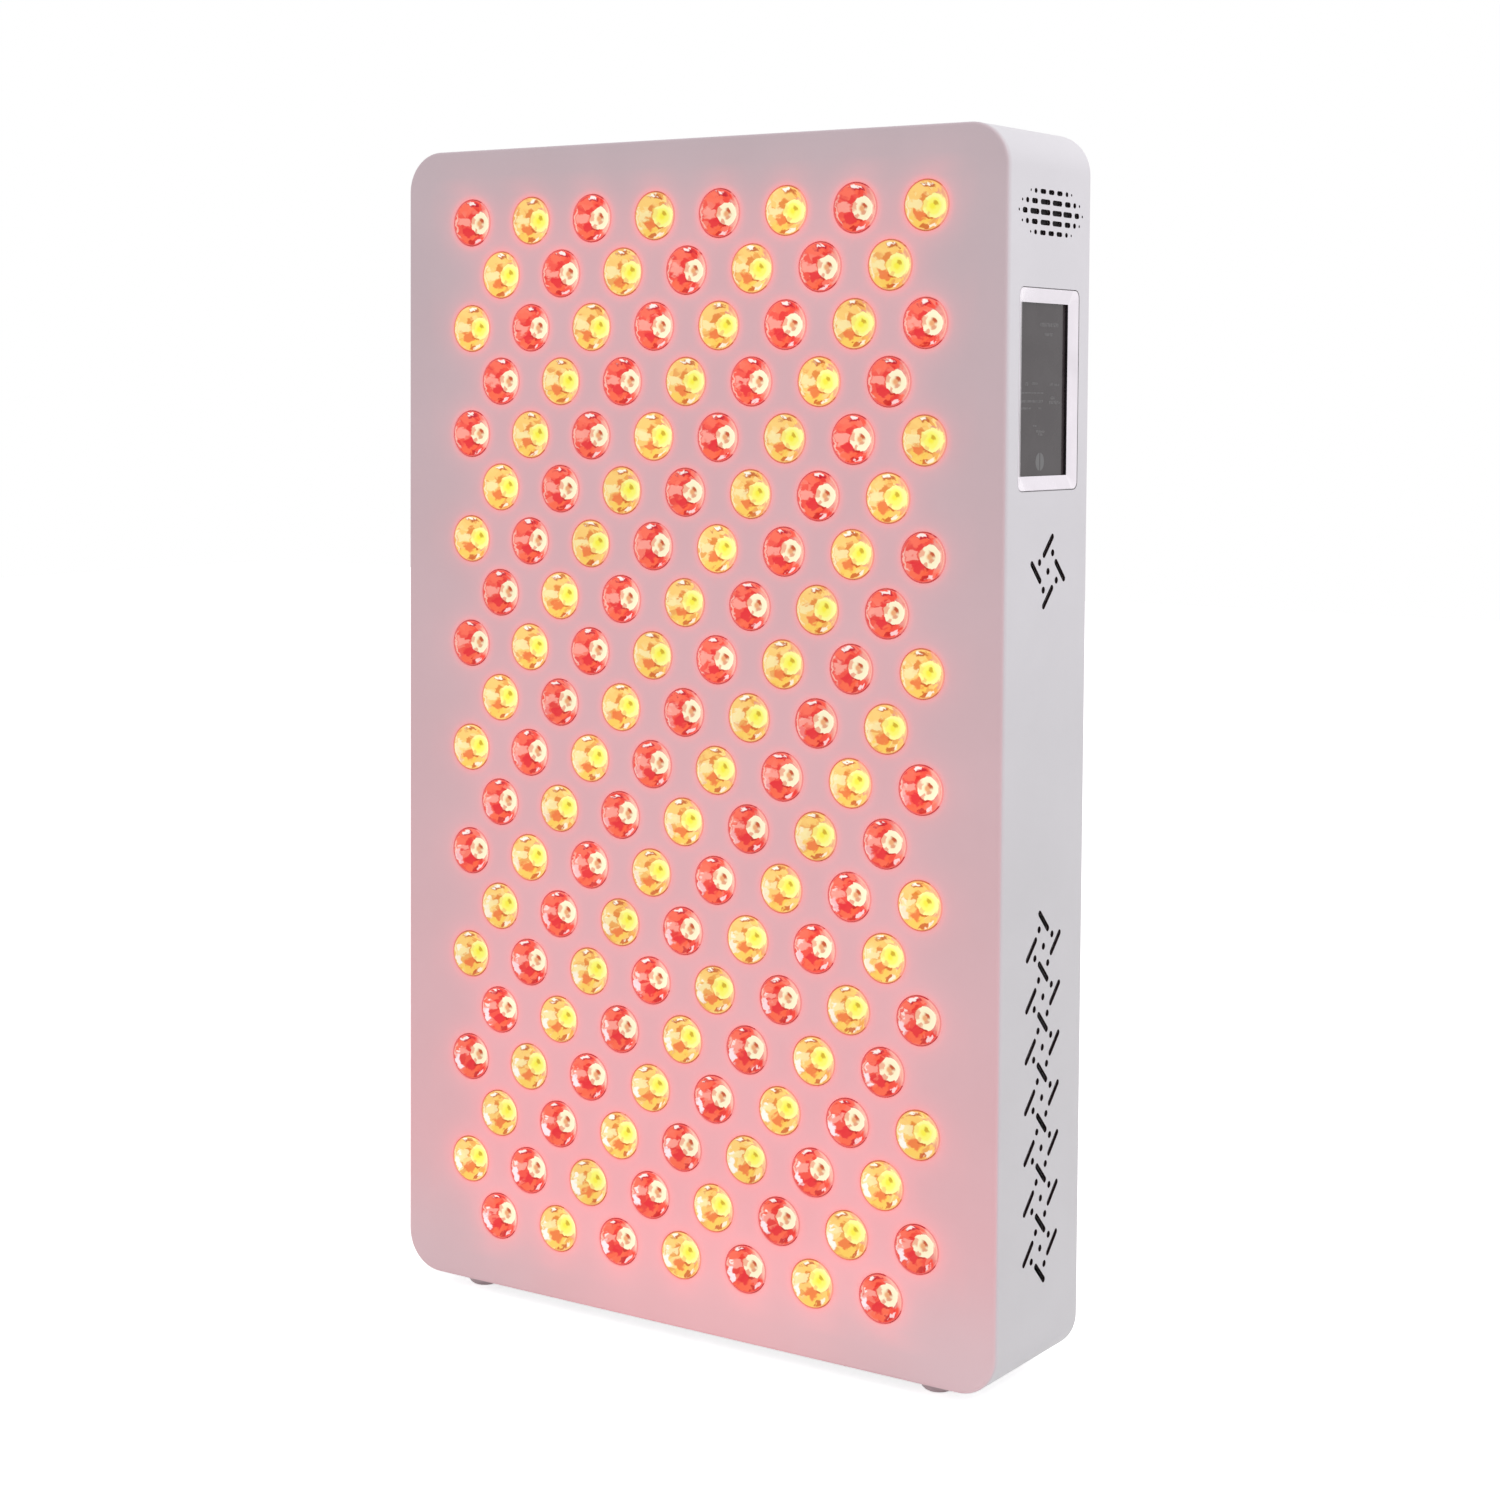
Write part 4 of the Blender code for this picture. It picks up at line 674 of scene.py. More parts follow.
material, bench, shader = finish("lens_cone", Roughness=0.14, IOR=1.49, Specular_IOR_Level=0.3)
face = bench.node("ShaderNodeUVMap", {"uv_map": "lamp_face"}).outputs[0]
u, v = [bench.scaled(side, 2.0, -1.0) for side in bench.axes(face)[:2]]
amber, chance, low, sway = [bench.held(label) for label in ("amber", "chance", "low", "sway")]
seed = bench.times(chance, 60.0)
cell = bench.node("ShaderNodeCombineXYZ", X=u, Y=v, Z=seed).outputs[0]
warp = bench.node("ShaderNodeTexNoise", Vector=cell, Scale=4.2, Detail=3.0).outputs["Color"]
warp = bench.axes(warp)
true_reach = bench.math("SQRT", bench.math("ADD", bench.times(u, u), bench.times(v, v)))
reach = bench.math("ADD", true_reach, bench.scaled(warp["X"], 0.26, -0.13))
true_turn = bench.math("DIVIDE", bench.math("ARCTAN2", v, u), 2 * math.pi)
steady = bench.math("ADD", true_turn, bench.scaled(warp["Y"], 0.16, -0.08))
turn = bench.math("ADD", steady, sway)


def of_lamp(red, yellow):
    """One colour for the red lamps and one for the amber ones, written in 0 to 255."""
    return bench.mix(amber, srgb(*red), srgb(*yellow))


def lens_layers(cone, angle, layers):
    """Painted reflection patches laid over the cone's colours: where each lies, from which turn and reach
    to which, its colours and how strong it is."""
    for at, half, start, stop, red, yellow, amount in layers:
        mask = use(bench, mirror_patch, Turn=angle, Reach=reach, At=at, Half=half, Low=start, High=stop)
        cone = bench.mix(bench.times(mask["Mask"], amount), cone, of_lamp(red, yellow))
    return cone


# Painted reflection of the LED: a red or amber ground with darker and paler flecks.
cone = of_lamp((245, 84, 68), (252, 204, 114))
shards = bench.node("ShaderNodeTexVoronoi", Vector=cell, Scale=3.4).outputs["Color"]
shard = bench.axes(shards)["X"]
cone = bench.mix(bench.range(shard, 0.70, 0.76, 0.0, 0.55), cone, of_lamp((222, 40, 46), (228, 132, 56)))
cone = bench.mix(bench.range(shard, 0.24, 0.18, 0.0, 0.50), cone, of_lamp((255, 150, 128), (255, 232, 160)))
cone = lens_layers(cone, turn, (
    (0.315, 0.095, 0.60, 0.95, (255, 112, 84), (253, 208, 116), 0.85),
    (0.655, 0.085, 0.52, 0.93, (254, 108, 72), (253, 208, 92), 0.9),
    (0.400, 0.095, 0.44, 0.62, (234, 44, 38), (228, 132, 50), 0.95),
    (0.600, 0.080, 0.44, 0.74, (232, 36, 48), (240, 118, 58), 0.9),
    (0.680, 0.075, 0.41, 0.52, (196, 40, 30), (206, 92, 30), 0.9),
))
cone = lens_layers(cone, steady, (
    (0.495, 0.052, 0.50, 0.88, (255, 168, 152), (252, 236, 172), 0.85),
))
# Painted reflection on the right wall: paler, with streaks.
streaks = bench.node("ShaderNodeCombineXYZ", X=bench.times(turn, 30.0), Y=true_reach, Z=seed)
streak = bench.noise(streaks.outputs[0], 1.0, 3.0)
wall = of_lamp((227, 133, 128), (229, 149, 131))
pale_wall = of_lamp((254, 226, 194), (252, 244, 158))
from_right = bench.turned_off(turn, 0.0)
paling = bench.scaled(streak, 0.40, bench.math("SUBTRACT", true_reach, 0.20))
paling = bench.scaled(from_right, 2.3, bench.scaled(amber, -0.20, paling))
wall = bench.mix(bench.range(paling, 0.78, 0.50), wall, pale_wall)
widening = bench.math("MAXIMUM", bench.math("SUBTRACT", 0.66, reach), 0.0)
beside = bench.math("SUBTRACT", from_right, bench.scaled(widening, 0.50, 0.140))
right_wall = bench.range(beside, 0.022, -0.022)
cone = bench.mix(right_wall, cone, wall)
# Painted highlights: two white glints, each with a dark patch beside it.
cone = lens_layers(cone, turn, (
    (0.725, 0.036, 0.74, 0.93, (196, 14, 28), (200, 64, 18), 0.8),
    (0.243, 0.068, 0.73, 0.90, (190, 16, 46), (190, 86, 42), 0.9),
    (0.255, 0.036, 0.80, 0.92, (255, 244, 238), (255, 252, 236), 1.0),
    (0.778, 0.036, 0.73, 0.90, (255, 228, 228), (255, 246, 228), 0.85),
))
# Painted highlights: a pale crescent inside the left rim, and glare on the lower lamps.
cone = lens_layers(cone, steady, (
    (0.520, 0.120, 0.905, 0.945, (254, 206, 190), (254, 244, 204), 0.9),
    (0.472, 0.022, 0.76, 0.86, (255, 236, 228), (255, 250, 232), low),
    (0.570, 0.066, 0.79, 0.94, (255, 238, 242), (255, 252, 242), low),
))
# The lip is painted paler on the right as painted reflection, and the thin dark line round the rim is
# painted shade.
left_lip = of_lamp((240, 114, 110), (242, 172, 112))
lip = bench.mix(right_wall, left_lip, of_lamp((246, 154, 150), (246, 160, 142)))
outline = of_lamp((186, 44, 50), (196, 100, 58))
cone = bench.mix(bench.range(true_reach, 0.945, 0.962), cone, lip)
shown = bench.scaled(right_wall, -0.8, 0.9)
cone = bench.mix(bench.times(bench.range(true_reach, 0.966, 0.982), shown), cone, outline)
ragged = bench.scaled(bench.math("SUBTRACT", reach, true_reach), 0.6, true_reach)
disc = bench.mix(
    bench.range(ragged, 0.05, 0.22), of_lamp((244, 200, 148), (250, 238, 62)),
    of_lamp((254, 245, 204), (252, 248, 108)),
)
disc = bench.mix(bench.range(ragged, 0.26, 0.42), disc, of_lamp((254, 248, 212), (253, 252, 156)))
is_red = bench.math("SUBTRACT", 1.0, amber)
ring = bench.times(bench.range(ragged, 0.06, 0.12), bench.range(ragged, 0.27, 0.22))
near = bench.range(bench.turned_off(true_turn, 0.13), bench.scaled(amber, -0.05, 0.20), 0.05)
disc = bench.mix(bench.times(ring, near), disc, of_lamp((198, 84, 40), (212, 176, 36)))
near = bench.times(bench.range(bench.turned_off(true_turn, 0.82), 0.16, 0.05, 0.0, 0.9), is_red)
disc = bench.mix(bench.times(ring, near), disc, srgb(226, 150, 112))
middle = bench.times(bench.range(true_reach, 0.16, 0.05), is_red)
disc = bench.mix(middle, disc, srgb(238, 168, 114))
foot_edge = bench.scaled(right_wall, 0.05, 0.455)
disc_mask = bench.range(bench.math("SUBTRACT", ragged, foot_edge), 0.015, -0.015)
cone = bench.mix(disc_mask, cone, disc)
cone = lens_layers(cone, steady, (
    (0.450, 0.090, 0.27, 0.47, (240, 150, 116), (250, 226, 110), 0.75),
    (0.660, 0.052, 0.28, 0.46, (234, 130, 100), (246, 196, 108), 0.75),
))
unlit = bench.mix(0.92, cone, (0.02, 0.01, 0.01))
glow = bench.tinted(cone, bench.scaled(chance, 0.10, 0.92))
bench.fill(shader.inputs, Base_Color=unlit, Emission_Color=glow, Emission_Strength=0.96)

for number in range(1, 6):
    cups = build(f"lens_cones_{number}", [(lens_cups(row // 4 == number - 1), True)], 24)
    mark_lamps(cups.data)
    paint(cups, material)
    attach(cups, "panel")
    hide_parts(f"lens_sheet_{number}")

# Light boards and their carrier: white aluminium-core boards with a ceramic LED under
# every lens, screwed to a 2 mm aluminium plate that closes the lamp space off.
moulded_grain, bench, given, gives = finish_effect("moulded_grain", ("Gloss", "Float"))
speckle = bench.noise(given["Place"], 2600.0, 2.0)
cloud = bench.noise(given["Place"], 45.0, 3.0)
tone = bench.range(cloud, 0.3, 0.7, 0.93, 1.05, "LINEAR")
uneven = bench.range(speckle, 0.2, 0.8, 0.56, 0.44, "LINEAR")
uneven = bench.math("ADD", uneven, bench.range(cloud, 0.3, 0.7, -0.03, 0.03, "LINEAR"))
uneven = bench.math("SUBTRACT", uneven, given["Gloss"], clamp=True)
bench.fill(gives, Colour=bench.tinted(given["Colour"], tone), Roughness=uneven, Height=speckle)

brushed_metal, bench, given, gives = finish_effect(
    "brushed_metal", ("Stretch", "Vector"), ("Gloss", "Float")
)
drawn = bench.node("ShaderNodeVectorMath", {"operation": "MULTIPLY"})
streak = bench.noise(bench.outcome(drawn, given["Place"], given["Stretch"]), 60.0, 4.0)
cloud = bench.noise(given["Place"], 30.0, 2.0)
tone = bench.range(streak, 0.3, 0.7, 0.88, 1.06, "LINEAR")
uneven = bench.range(bench.math("ADD", streak, cloud), 0.7, 1.3, 0.36, 0.52, "LINEAR")
uneven = bench.math("SUBTRACT", uneven, given["Gloss"], clamp=True)
bench.fill(gives, Colour=bench.tinted(given["Colour"], tone), Roughness=uneven, Height=streak)

material, bench, shader = finish("led_board_mask")
board_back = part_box("led_board_1")[1].y
package = bench.range(bench.axes(bench.place())["Y"], board_back - 0.0018, board_back - 0.0022)
mask = bench.mix(package, (0.78, 0.79, 0.77, 1.0), (0.86, 0.70, 0.22, 1.0))
cover_in(bench, shader, moulded_grain, mask, 0.2, 0.00004, Gloss=0.12)
dress(material, *[f"led_board_{number}" for number in range(1, 6)])
aluminium = made_of(
    "mill_aluminium", brushed_metal, (0.72, 0.73, 0.74), 0.25, 0.00005,
    Stretch=(14.0, 1.0, 1.0), Gloss=0.05, Metallic=1.0,
)
dress(aluminium, "carrier_plate")

# Heat sinks: two aluminium extrusions with thirteen fins, screwed to the carrier in front
# of the fans. Their drawing lines run along the fins.
extruded = made_of(
    "extruded_aluminium", brushed_metal, (0.66, 0.67, 0.68), 0.35, 0.00008,
    Stretch=(12.0, 12.0, 0.6), Gloss=0.0, Metallic=1.0,
)
dress(extruded, "heat_sink_upper", "heat_sink_lower")

# LED drivers and boards: three closed aluminium cases on the carrier, with the auxiliary
# supply and the control board beside them.
case = made_of(
    "driver_case_metal", brushed_metal, (0.62, 0.63, 0.65), 0.3, 0.00006,
    Stretch=(2.0, 2.0, 14.0), Gloss=0.04, Metallic=0.9,
)
dress(case, "led_driver_1", "led_driver_2", "led_driver_3")
laminate = made_of("circuit_laminate", moulded_grain, (0.05, 0.20, 0.11), 0.3, 0.00005, Gloss=0.15)
dress(laminate, "auxiliary_supply", "control_board")

# Mains lead: a black double-insulated lead inside the housing, from the back of the inlet
# to the lower driver.
black_plastic = made_of("black_moulding", moulded_grain, (0.028, 0.028, 0.030), 0.4, 0.00006, Gloss=0.05)
sheath = made_of("lead_sheath", moulded_grain, (0.020, 0.020, 0.022), 0.3, 0.00008, Gloss=0.0)
dress(sheath, "mains_lead")

# Speaker: a driver behind the grille, covered with woven black cloth.
material, bench, shader = finish("speaker_cloth", Roughness=0.85)
thread_pitch = 0.0009
x, y, z = bench.axes(bench.place())
warp, weft = [bench.math("SINE", bench.times(side, 2 * math.pi / thread_pitch)) for side in (y, z)]
weave = bench.times(warp, weft)
cloth = bench.mix(bench.range(weave, -1.0, 1.0), (0.006, 0.005, 0.006), (0.030, 0.026, 0.030))
bench.fill(shader.inputs, Base_Color=cloth)
bump(bench, shader, weave, 0.6, 0.0001)
dress(material, "speaker")

# Fans: two 92 mm fans inside the rear cover, held to it by four screws each. The frame has
# a flange at both ends of a round duct, and four struts that hold the motor's base.
fan_size, fan_radius, duct_radius = 0.0920, 0.0440, 0.0458


def box_middle(name):
    """The middle of a CAD node's box."""
    low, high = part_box(name)
    return (low.x + high.x) / 2, (low.y + high.y) / 2, (low.z + high.z) / 2


def circle_outline(u, v, radius, steps=24):
    """Points evenly round a circle."""
    angle = np.arange(steps) * 2 * math.pi / steps
    return on_circle(angle) * radius + (u, v)


def turned(profile, sides, place, axis):
    """A profile of radius and height, turned about the axis through the place."""
    rings = [circle_outline(0, 0, radius, sides) for radius, _ in profile]
    return loft(rings, [height for _, height in profile], axis) + np.array(place)


def fan_duct(low, high, z):
    """Square flanges and a round duct between them, outside, and the bore inside, which
    widens at both mouths. All rings share the square's angles."""
    square = rounded_outline(0, 0, fan_size, fan_size, 0.004, 5, 12)
    unit = square / np.linalg.norm(square, axis=1, keepdims=True)
    tight = inset(square, 0.0004)
    duct, bore, mouth = unit * duct_radius, unit * fan_radius, unit * (fan_radius + 0.0010)
    outlines = (tight, square, square, duct, duct, square, square, tight, mouth, bore, bore, mouth)
    flange, slope, bevel, mouth_depth = 0.0045, 0.0002, 0.0004, 0.0030
    heights = [low, low + bevel, low + flange, low + flange + slope]
    heights += [high - flange - slope, high - flange, high - bevel, high]
    heights += [high, high - mouth_depth, low + mouth_depth, low]
    return loft([outline + (0, z) for outline in outlines], heights, 1, ring=True)


def fan_strut(turn, y, z):
    """A flat bar with rounded sides, from the motor's base to the duct, leaning back."""
    reach = np.array((0.0180, 0.0182, 0.0446, 0.0448))[:, None]
    thin = np.array((0.0, 1.0, 1.0, 0.0))[:, None]
    around = np.arange(12) * 2 * math.pi / 12
    width = 0.0021 * thin * np.sign(np.cos(around)) * np.abs(np.cos(around)) ** 0.5
    height = 0.0013 * thin * np.sign(np.sin(around)) * np.abs(np.sin(around)) ** 0.7
    c, s = math.cos(turn), math.sin(turn)
    return stacked(reach * c - width * s, y + height, z + reach * s + width * c)


for name in ("upper", "lower"):
    low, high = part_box(f"fan_frame_{name}")
    z = box_middle(f"fan_frame_{name}")[2]
    base = high.y - 0.0030
    plate = ((0.0182, base), (0.0190, base + 0.0006), (0.0190, high.y - 0.0006))
    plate += ((0.0184, high.y), (0.0160, high.y), (0.0156, high.y - 0.0003))
    shaft = ((0.0019, base - 0.0168), (0.0020, base - 0.0165), (0.0020, base + 0.0005))
    struts = [fan_strut(quarter * math.pi / 2, base + 0.0015, z) for quarter in range(4)]
    patches = [(fan_duct(low.y, high.y, z), True), (struts, True)]
    patches += [(turned(plate, 48, (0, 0, z), 1), True), (turned(shaft, 16, (0, 0, z), 1), True)]
    fan = build(f"fan_{name}_frame", patches, 32)
    paint(fan, black_plastic)
    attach(fan, "panel")
    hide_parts(f"fan_frame_{name}")

# Fan rotors: a magnet cup with seven twisted, cambered blades, moulded in one piece, that
# spins on the shaft of its frame.
rotor_plastic = made_of("rotor_moulding", moulded_grain, (0.055, 0.055, 0.060), 0.3, 0.00005, Gloss=0.12)


def blade(start, y, z):
    """A closed section, thickest before its middle, lofted from hub to tip. It wraps round
    the axis, and turns flatter and longer outwards."""
    out = np.linspace(0, 1, 9)[:, None]
    around = np.arange(20) * 2 * math.pi / 20
    hub, tip = 0.0170, 0.0418
    radius = hub + out * (tip - hub)
    chord = 0.0185 + 0.0035 * out
    pitch = np.radians(46 - 14 * out)
    along = np.cos(around) / 2
    bow = 0.05 * (1 - 4 * along**2) * chord
    thick = 0.5 * (0.0018 - 0.0007 * out) * np.sin(around) * (1.15 + 0.6 * along)
    end = np.where((out == 0) | (out == 1), 0.0, 1.0)
    turn_by = (along * chord * np.cos(pitch) * end - (bow + thick) * np.sin(pitch)) / radius
    rise = -along * chord * np.sin(pitch) * end - (bow + thick) * np.cos(pitch)
    angle = start + turn_by + 0.22 * out**2
    return stacked(radius * np.cos(angle), y + rise, z + radius * np.sin(angle))


for name in ("upper", "lower"):
    low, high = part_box(f"fan_rotor_{name}")
    y, z = box_middle(f"fan_rotor_{name}")[1], box_middle(f"fan_frame_{name}")[2]
    cup = ((0.0023, low.y + 0.0012), (0.0060, low.y + 0.0008), (0.0120, low.y), (0.0165, low.y))
    cup += ((0.0176, low.y + 0.0005), (0.0180, low.y + 0.0016), (0.0180, high.y - 0.0004))
    cup += ((0.0176, high.y), (0.0023, high.y))
    blades = [blade(number * 2 * math.pi / 7, y, z) for number in range(7)]
    rotor = build(f"fan_{name}_rotor", [(turned(cup, 56, (0, 0, z), 1), True), (blades, True)], 32)
    paint(rotor, rotor_plastic)
    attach(rotor, f"{name}_rotor")
    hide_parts(f"fan_rotor_{name}")

# Screen bezel: a gloss lilac-white frame let into the right side, with mitred slopes down to the glass and
# a lip that clamps it from behind. Its upright limbs are painted lighter than its top and bottom as painted
# light, and the wall below the slopes is painted near black.
land, border, slope_depth = 0.0004, 0.0056, 0.0020
side_x = half_width
rim = rounded_outline(bezel_y, bezel_z, bezel_width, bezel_height, bezel_corner, 6, 4)
hole_width, hole_height = bezel_width - 2 * border, bezel_height - 2 * border
hole = rounded_outline(bezel_y, bezel_z, hole_width, hole_height, 0.0002, 6, 4)
lip = rounded_outline(bezel_y, bezel_z, bezel_width + 0.0030, bezel_height + 0.0030, 0.0005, 6, 4)
outlines = (lip, lip, rim, rim, inset(rim, 0.00008), inset(rim, 0.0003), inset(rim, land))
outlines += (inset(hole, -0.00015), hole, hole)
heights = (bezel_low.x, side_x - sheet - 0.0003, side_x - sheet - 0.0003, side_x - 0.0003)
heights += (side_x - 0.00008, side_x, side_x)
heights += (side_x - slope_depth + 0.00003, side_x - slope_depth - 0.00005, bezel_low.x)
bezel = build("bezel_frame", [(loft(outlines, heights, 0, ring=True), True)], 18)
material, bench, shader = finish("bezel_gloss", Coat_Weight=0.6, Coat_Roughness=0.06)
x, y, z = bench.axes(bench.place())
inner = bench.range(x, side_x - slope_depth - 0.00004, side_x - slope_depth - 0.00012)
# Painted light: the upright limbs are lighter than the top and bottom.
limbs = bench.range(bench.off(y, bezel_y), hole_width / 2 - 0.0004, hole_width / 2 + 0.0004)
gloss = bench.mix(limbs, (0.90, 0.835, 0.91), (0.985, 0.92, 0.99))
# The wall below the slopes is painted near black.
gloss = bench.mix(inner, gloss, (0.008, 0.004, 0.008))
cover_in(bench, shader, moulded_grain, gloss, 0.05, 0.00003, Gloss=0.26)
paint(bezel, material)
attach(bezel, "panel")
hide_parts("screen_bezel")

# Screen: toughened glass over a dark display that shows faint generic marks, with its
# circuit board and a black housing behind.
glass = build(
    "display_glass",
    [(slab(rounded_outline(bezel_y, bezel_z, 0.0429, 0.0720, 0.0010, 4, 2),
           glass_low.x, glass_high.x, 0, 0.0002), True)],
)
material, bench, shader = finish("display_glass_finish")
smudge = bench.noise(bench.place(), 70.0, 3.0)
panel_grey = bench.mix(bench.range(smudge, 0.35, 0.65), (0.040, 0.029, 0.033), (0.050, 0.039, 0.043))
uneven = bench.range(smudge, 0.3, 0.7, 0.10, 0.20, "LINEAR")
bench.fill(shader.inputs, Base_Color=panel_grey, Roughness=uneven)
paint(glass, material)
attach(glass, "panel")
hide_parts("screen_glass")

# Middle, width and height of each mark in mm from the glass's middle: two bars, two
# readings with the rows under them, and a small wedge
display_marks = (
    (5.6, 25.7, 16.2, 1.6), (5.2, 21.9, 7.9, 1.3),
    (-13.0, 2.2, 3.0, 1.4), (-6.3, 2.4, 5.0, 1.0), (7.9, 2.2, 3.0, 1.4), (12.4, 2.0, 5.0, 1.0),
    (-8.2, -1.3, 19.0, 0.6), (-8.2, -4.6, 19.0, 1.0), (-13.5, -7.4, 9.0, 0.8), (-1.5, -7.4, 3.0, 0.7),
    (9.1, -3.2, 4.0, 1.4), (10.8, -5.0, 10.0, 1.2),
    (-5.8, -14.3, 3.0, 0.7), (-1.2, -16.5, 7.6, 1.0), (-1.0, -17.7, 4.4, 1.0),
)
marks = [
    slot_outline(bezel_y + y / 1000, bezel_z + z / 1000, width / 1000, height / 1000)
    for y, z, width, height in display_marks
]
key_y, key_z, key_reach, key_slit = bezel_y - 0.0012, bezel_z - 0.0285, 0.0036, 0.0003
marks.append(circle_outline(key_y, key_z, key_reach, 32))
mark_back, mark_front = glass_high.x - 0.00004, glass_high.x + 0.00003
patches = [(slab(mark, mark_back, mark_front, 0, 0.00001, 1), True) for mark in marks]
symbols = build("display_marks", patches, 60, 2e-7)
material, bench, shader = finish("display_mark_glow", Roughness=0.25)
spot = bench.place()
x, y, z = bench.axes(spot)
ragged = bench.range(bench.noise(spot, 900.0, 2.0), 0.35, 0.65)
row_grey = bench.mix(ragged, (0.052, 0.043, 0.047), (0.098, 0.089, 0.093))
slit = bench.range(bench.off(y, key_y), key_slit, 2 * key_slit)
key_grey = bench.mix(slit, (0.058, 0.050, 0.053), (0.128, 0.124, 0.128))
key = bench.range(z, key_z + 0.0050, key_z + 0.0045)
bench.fill(shader.inputs, Base_Color=bench.mix(key, row_grey, key_grey))
paint(symbols, material)
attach(symbols, "panel")
dress(black_plastic, "screen_housing")
display_frame = made_of(
    "display_frame_steel", brushed_metal, (0.45, 0.46, 0.48), 0.2, 0.00004,
    Stretch=(1.0, 8.0, 1.0), Gloss=0.05, Metallic=0.8,
)
dress(display_frame, "display_module")

# Cover rails: zinc-plated strips inside the four walls, that the rear cover screws to.
zinc = made_of(
    "zinc_plate", brushed_metal, (0.58, 0.59, 0.60), 0.25, 0.00005,
    Stretch=(3.0, 3.0, 3.0), Gloss=0.02, Metallic=0.95,
)
dress(zinc, *[f"cover_rail_{side}" for side in ("top", "bottom", "left", "right")])

# Rear cover: a flush white steel sheet with slotted guards over both fans, two keyholes
# to hang the panel by, and an opening for the mains inlet.
cover_low, cover_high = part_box("rear_cover")
inlet_x, inlet_z = 0.1000, 0.0603
keyhole_x, keyhole_z = 0.1000, 0.4553
keyhole_radius, neck_radius, neck_rise, screw_hole = 0.0050, 0.0026, 0.0100, 0.0018
guard_slot, guard_rib, guard_first, guard_rings, guard_spoke = 0.0055, 0.0025, 0.0140, 4, 0.0045
cover_size = (cover_high.x - cover_low.x, cover_high.z - cover_low.z)
cover_outline = rounded_outline(0, mid_z, *cover_size, 0.0153, 12, 8)
cover = build("cover_sheet", [(slab(cover_outline, cover_low.y, cover_high.y, 1, 0.00025), True)])


def guard_slots(z):
    """Ring slots round the fan's axis, four in each ring. A slot's ends are half round:
    there its half width is the root of what remains of the end circle."""
    slots = []
    share = np.sin(np.linspace(-1, 1, 21) * math.pi / 2)
    half = guard_slot / 2
    for ring in range(guard_rings):
        radius = guard_first + half + ring * (guard_slot + guard_rib)
        reach = math.pi / 4 * radius - guard_spoke / 2
        past = np.maximum(np.abs(share) * reach - (reach - half), 0)
        wide = np.sqrt(np.maximum(half**2 - past**2, 0))[:, None] * np.array((-1, 1, 1, -1))
        y = np.array((cover_low.y, cover_low.y, cover_high.y, cover_high.y))
        y = y + np.array((-1, -1, 1, 1)) * sheet
        for quarter in range(4):
            angle = ((quarter + 0.5) * math.pi / 2 + share * reach / radius)[:, None]
            reaches = radius + wide
            slots.append(stacked(reaches * np.cos(angle), y, z + reaches * np.sin(angle)))
    return slots


def keyhole(x, z):
    """A round hole that a screw's head passes, and a narrow neck above it."""
    half_angle = math.asin(neck_radius / keyhole_radius)
    bottom = math.pi / 2 + half_angle + np.linspace(0, 2 * (math.pi - half_angle), 25)
    top = np.linspace(0, math.pi, 13)
    hole = keyhole_radius * on_circle(bottom)
    neck = neck_radius * on_circle(top) + (0, neck_rise)
    return np.concatenate((hole, neck)) + (x, z)


def screw_places(kind):
    """Where the screws of one kind stand, as x and z."""
    return [box_middle(f"{kind}_{number}")[::2] for number in range(1, 9)]


openings = [keyhole(side * keyhole_x, keyhole_z) for side in (-1, 1)]
openings.append(rounded_outline(inlet_x, inlet_z, 0.0278, 0.0486, 0.0010))
screw_spots = screw_places("cover_screw") + screw_places("fan_screw")
openings += [circle_outline(*spot, screw_hole, 16) for spot in screw_spots]
through_cover = (cover_low.y - sheet, cover_high.y + sheet)
tools = [loft((opening, opening), through_cover, 1) for opening in openings]
for name in ("upper", "lower"):
    tools += guard_slots(box_middle(f"fan_frame_{name}")[2])
punch(cover, tools)
cover_coat = made_of("cover_powder_coat", powder_coat, coat_white, 0.35, 0.00005)
paint(cover, cover_coat)
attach(cover, "panel")
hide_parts("rear_cover")

# Screws: zinc-plated pan-head screws with a cross recess, eight round the cover and four
# through it into each fan.
def pan_screw(x, z, length):
    """A turned screw, from the middle of its head to its tip. Inside the head, the height
    drops by the recess, which is a cross that narrows downwards."""
    back = cover_high.y
    head_height, head_reach, recess, arm_half, arm_reach = 0.0020, 0.0030, 0.0011, 0.00048, 0.00165
    radius = np.array((0.0, 0.30, 0.60, 0.85, 1.10, 1.35, 1.60, 1.85, 2.20, 2.50, 2.70, 2.80)) / 1000
    angle = np.arange(48) * 2 * math.pi / 48
    u, v = radius[:, None] * np.cos(angle), radius[:, None] * np.sin(angle)
    dome = head_height * (1 - (radius[:, None] / head_reach) ** 4)
    arm = np.minimum(np.abs(u), np.abs(v))
    far = np.maximum(np.abs(u), np.abs(v))
    cross = np.clip((arm_half - arm) / 0.00012, 0, 1) * np.clip((arm_reach - far) / 0.0003, 0, 1)
    head = back + dome - recess * cross * (1 - far / 0.0032)
    shank = ((2.80, 0.0), (1.50, 0.0), (1.50, -length + 0.8), (0.9, -length), (0.0, -length))
    rings = [stacked(x + u, head, z + v)]
    for reach, height in np.array(shank) / 1000:
        rings.append(stacked(x + reach * np.cos(angle), back + height, z + reach * np.sin(angle))[None])
    return np.concatenate(rings)


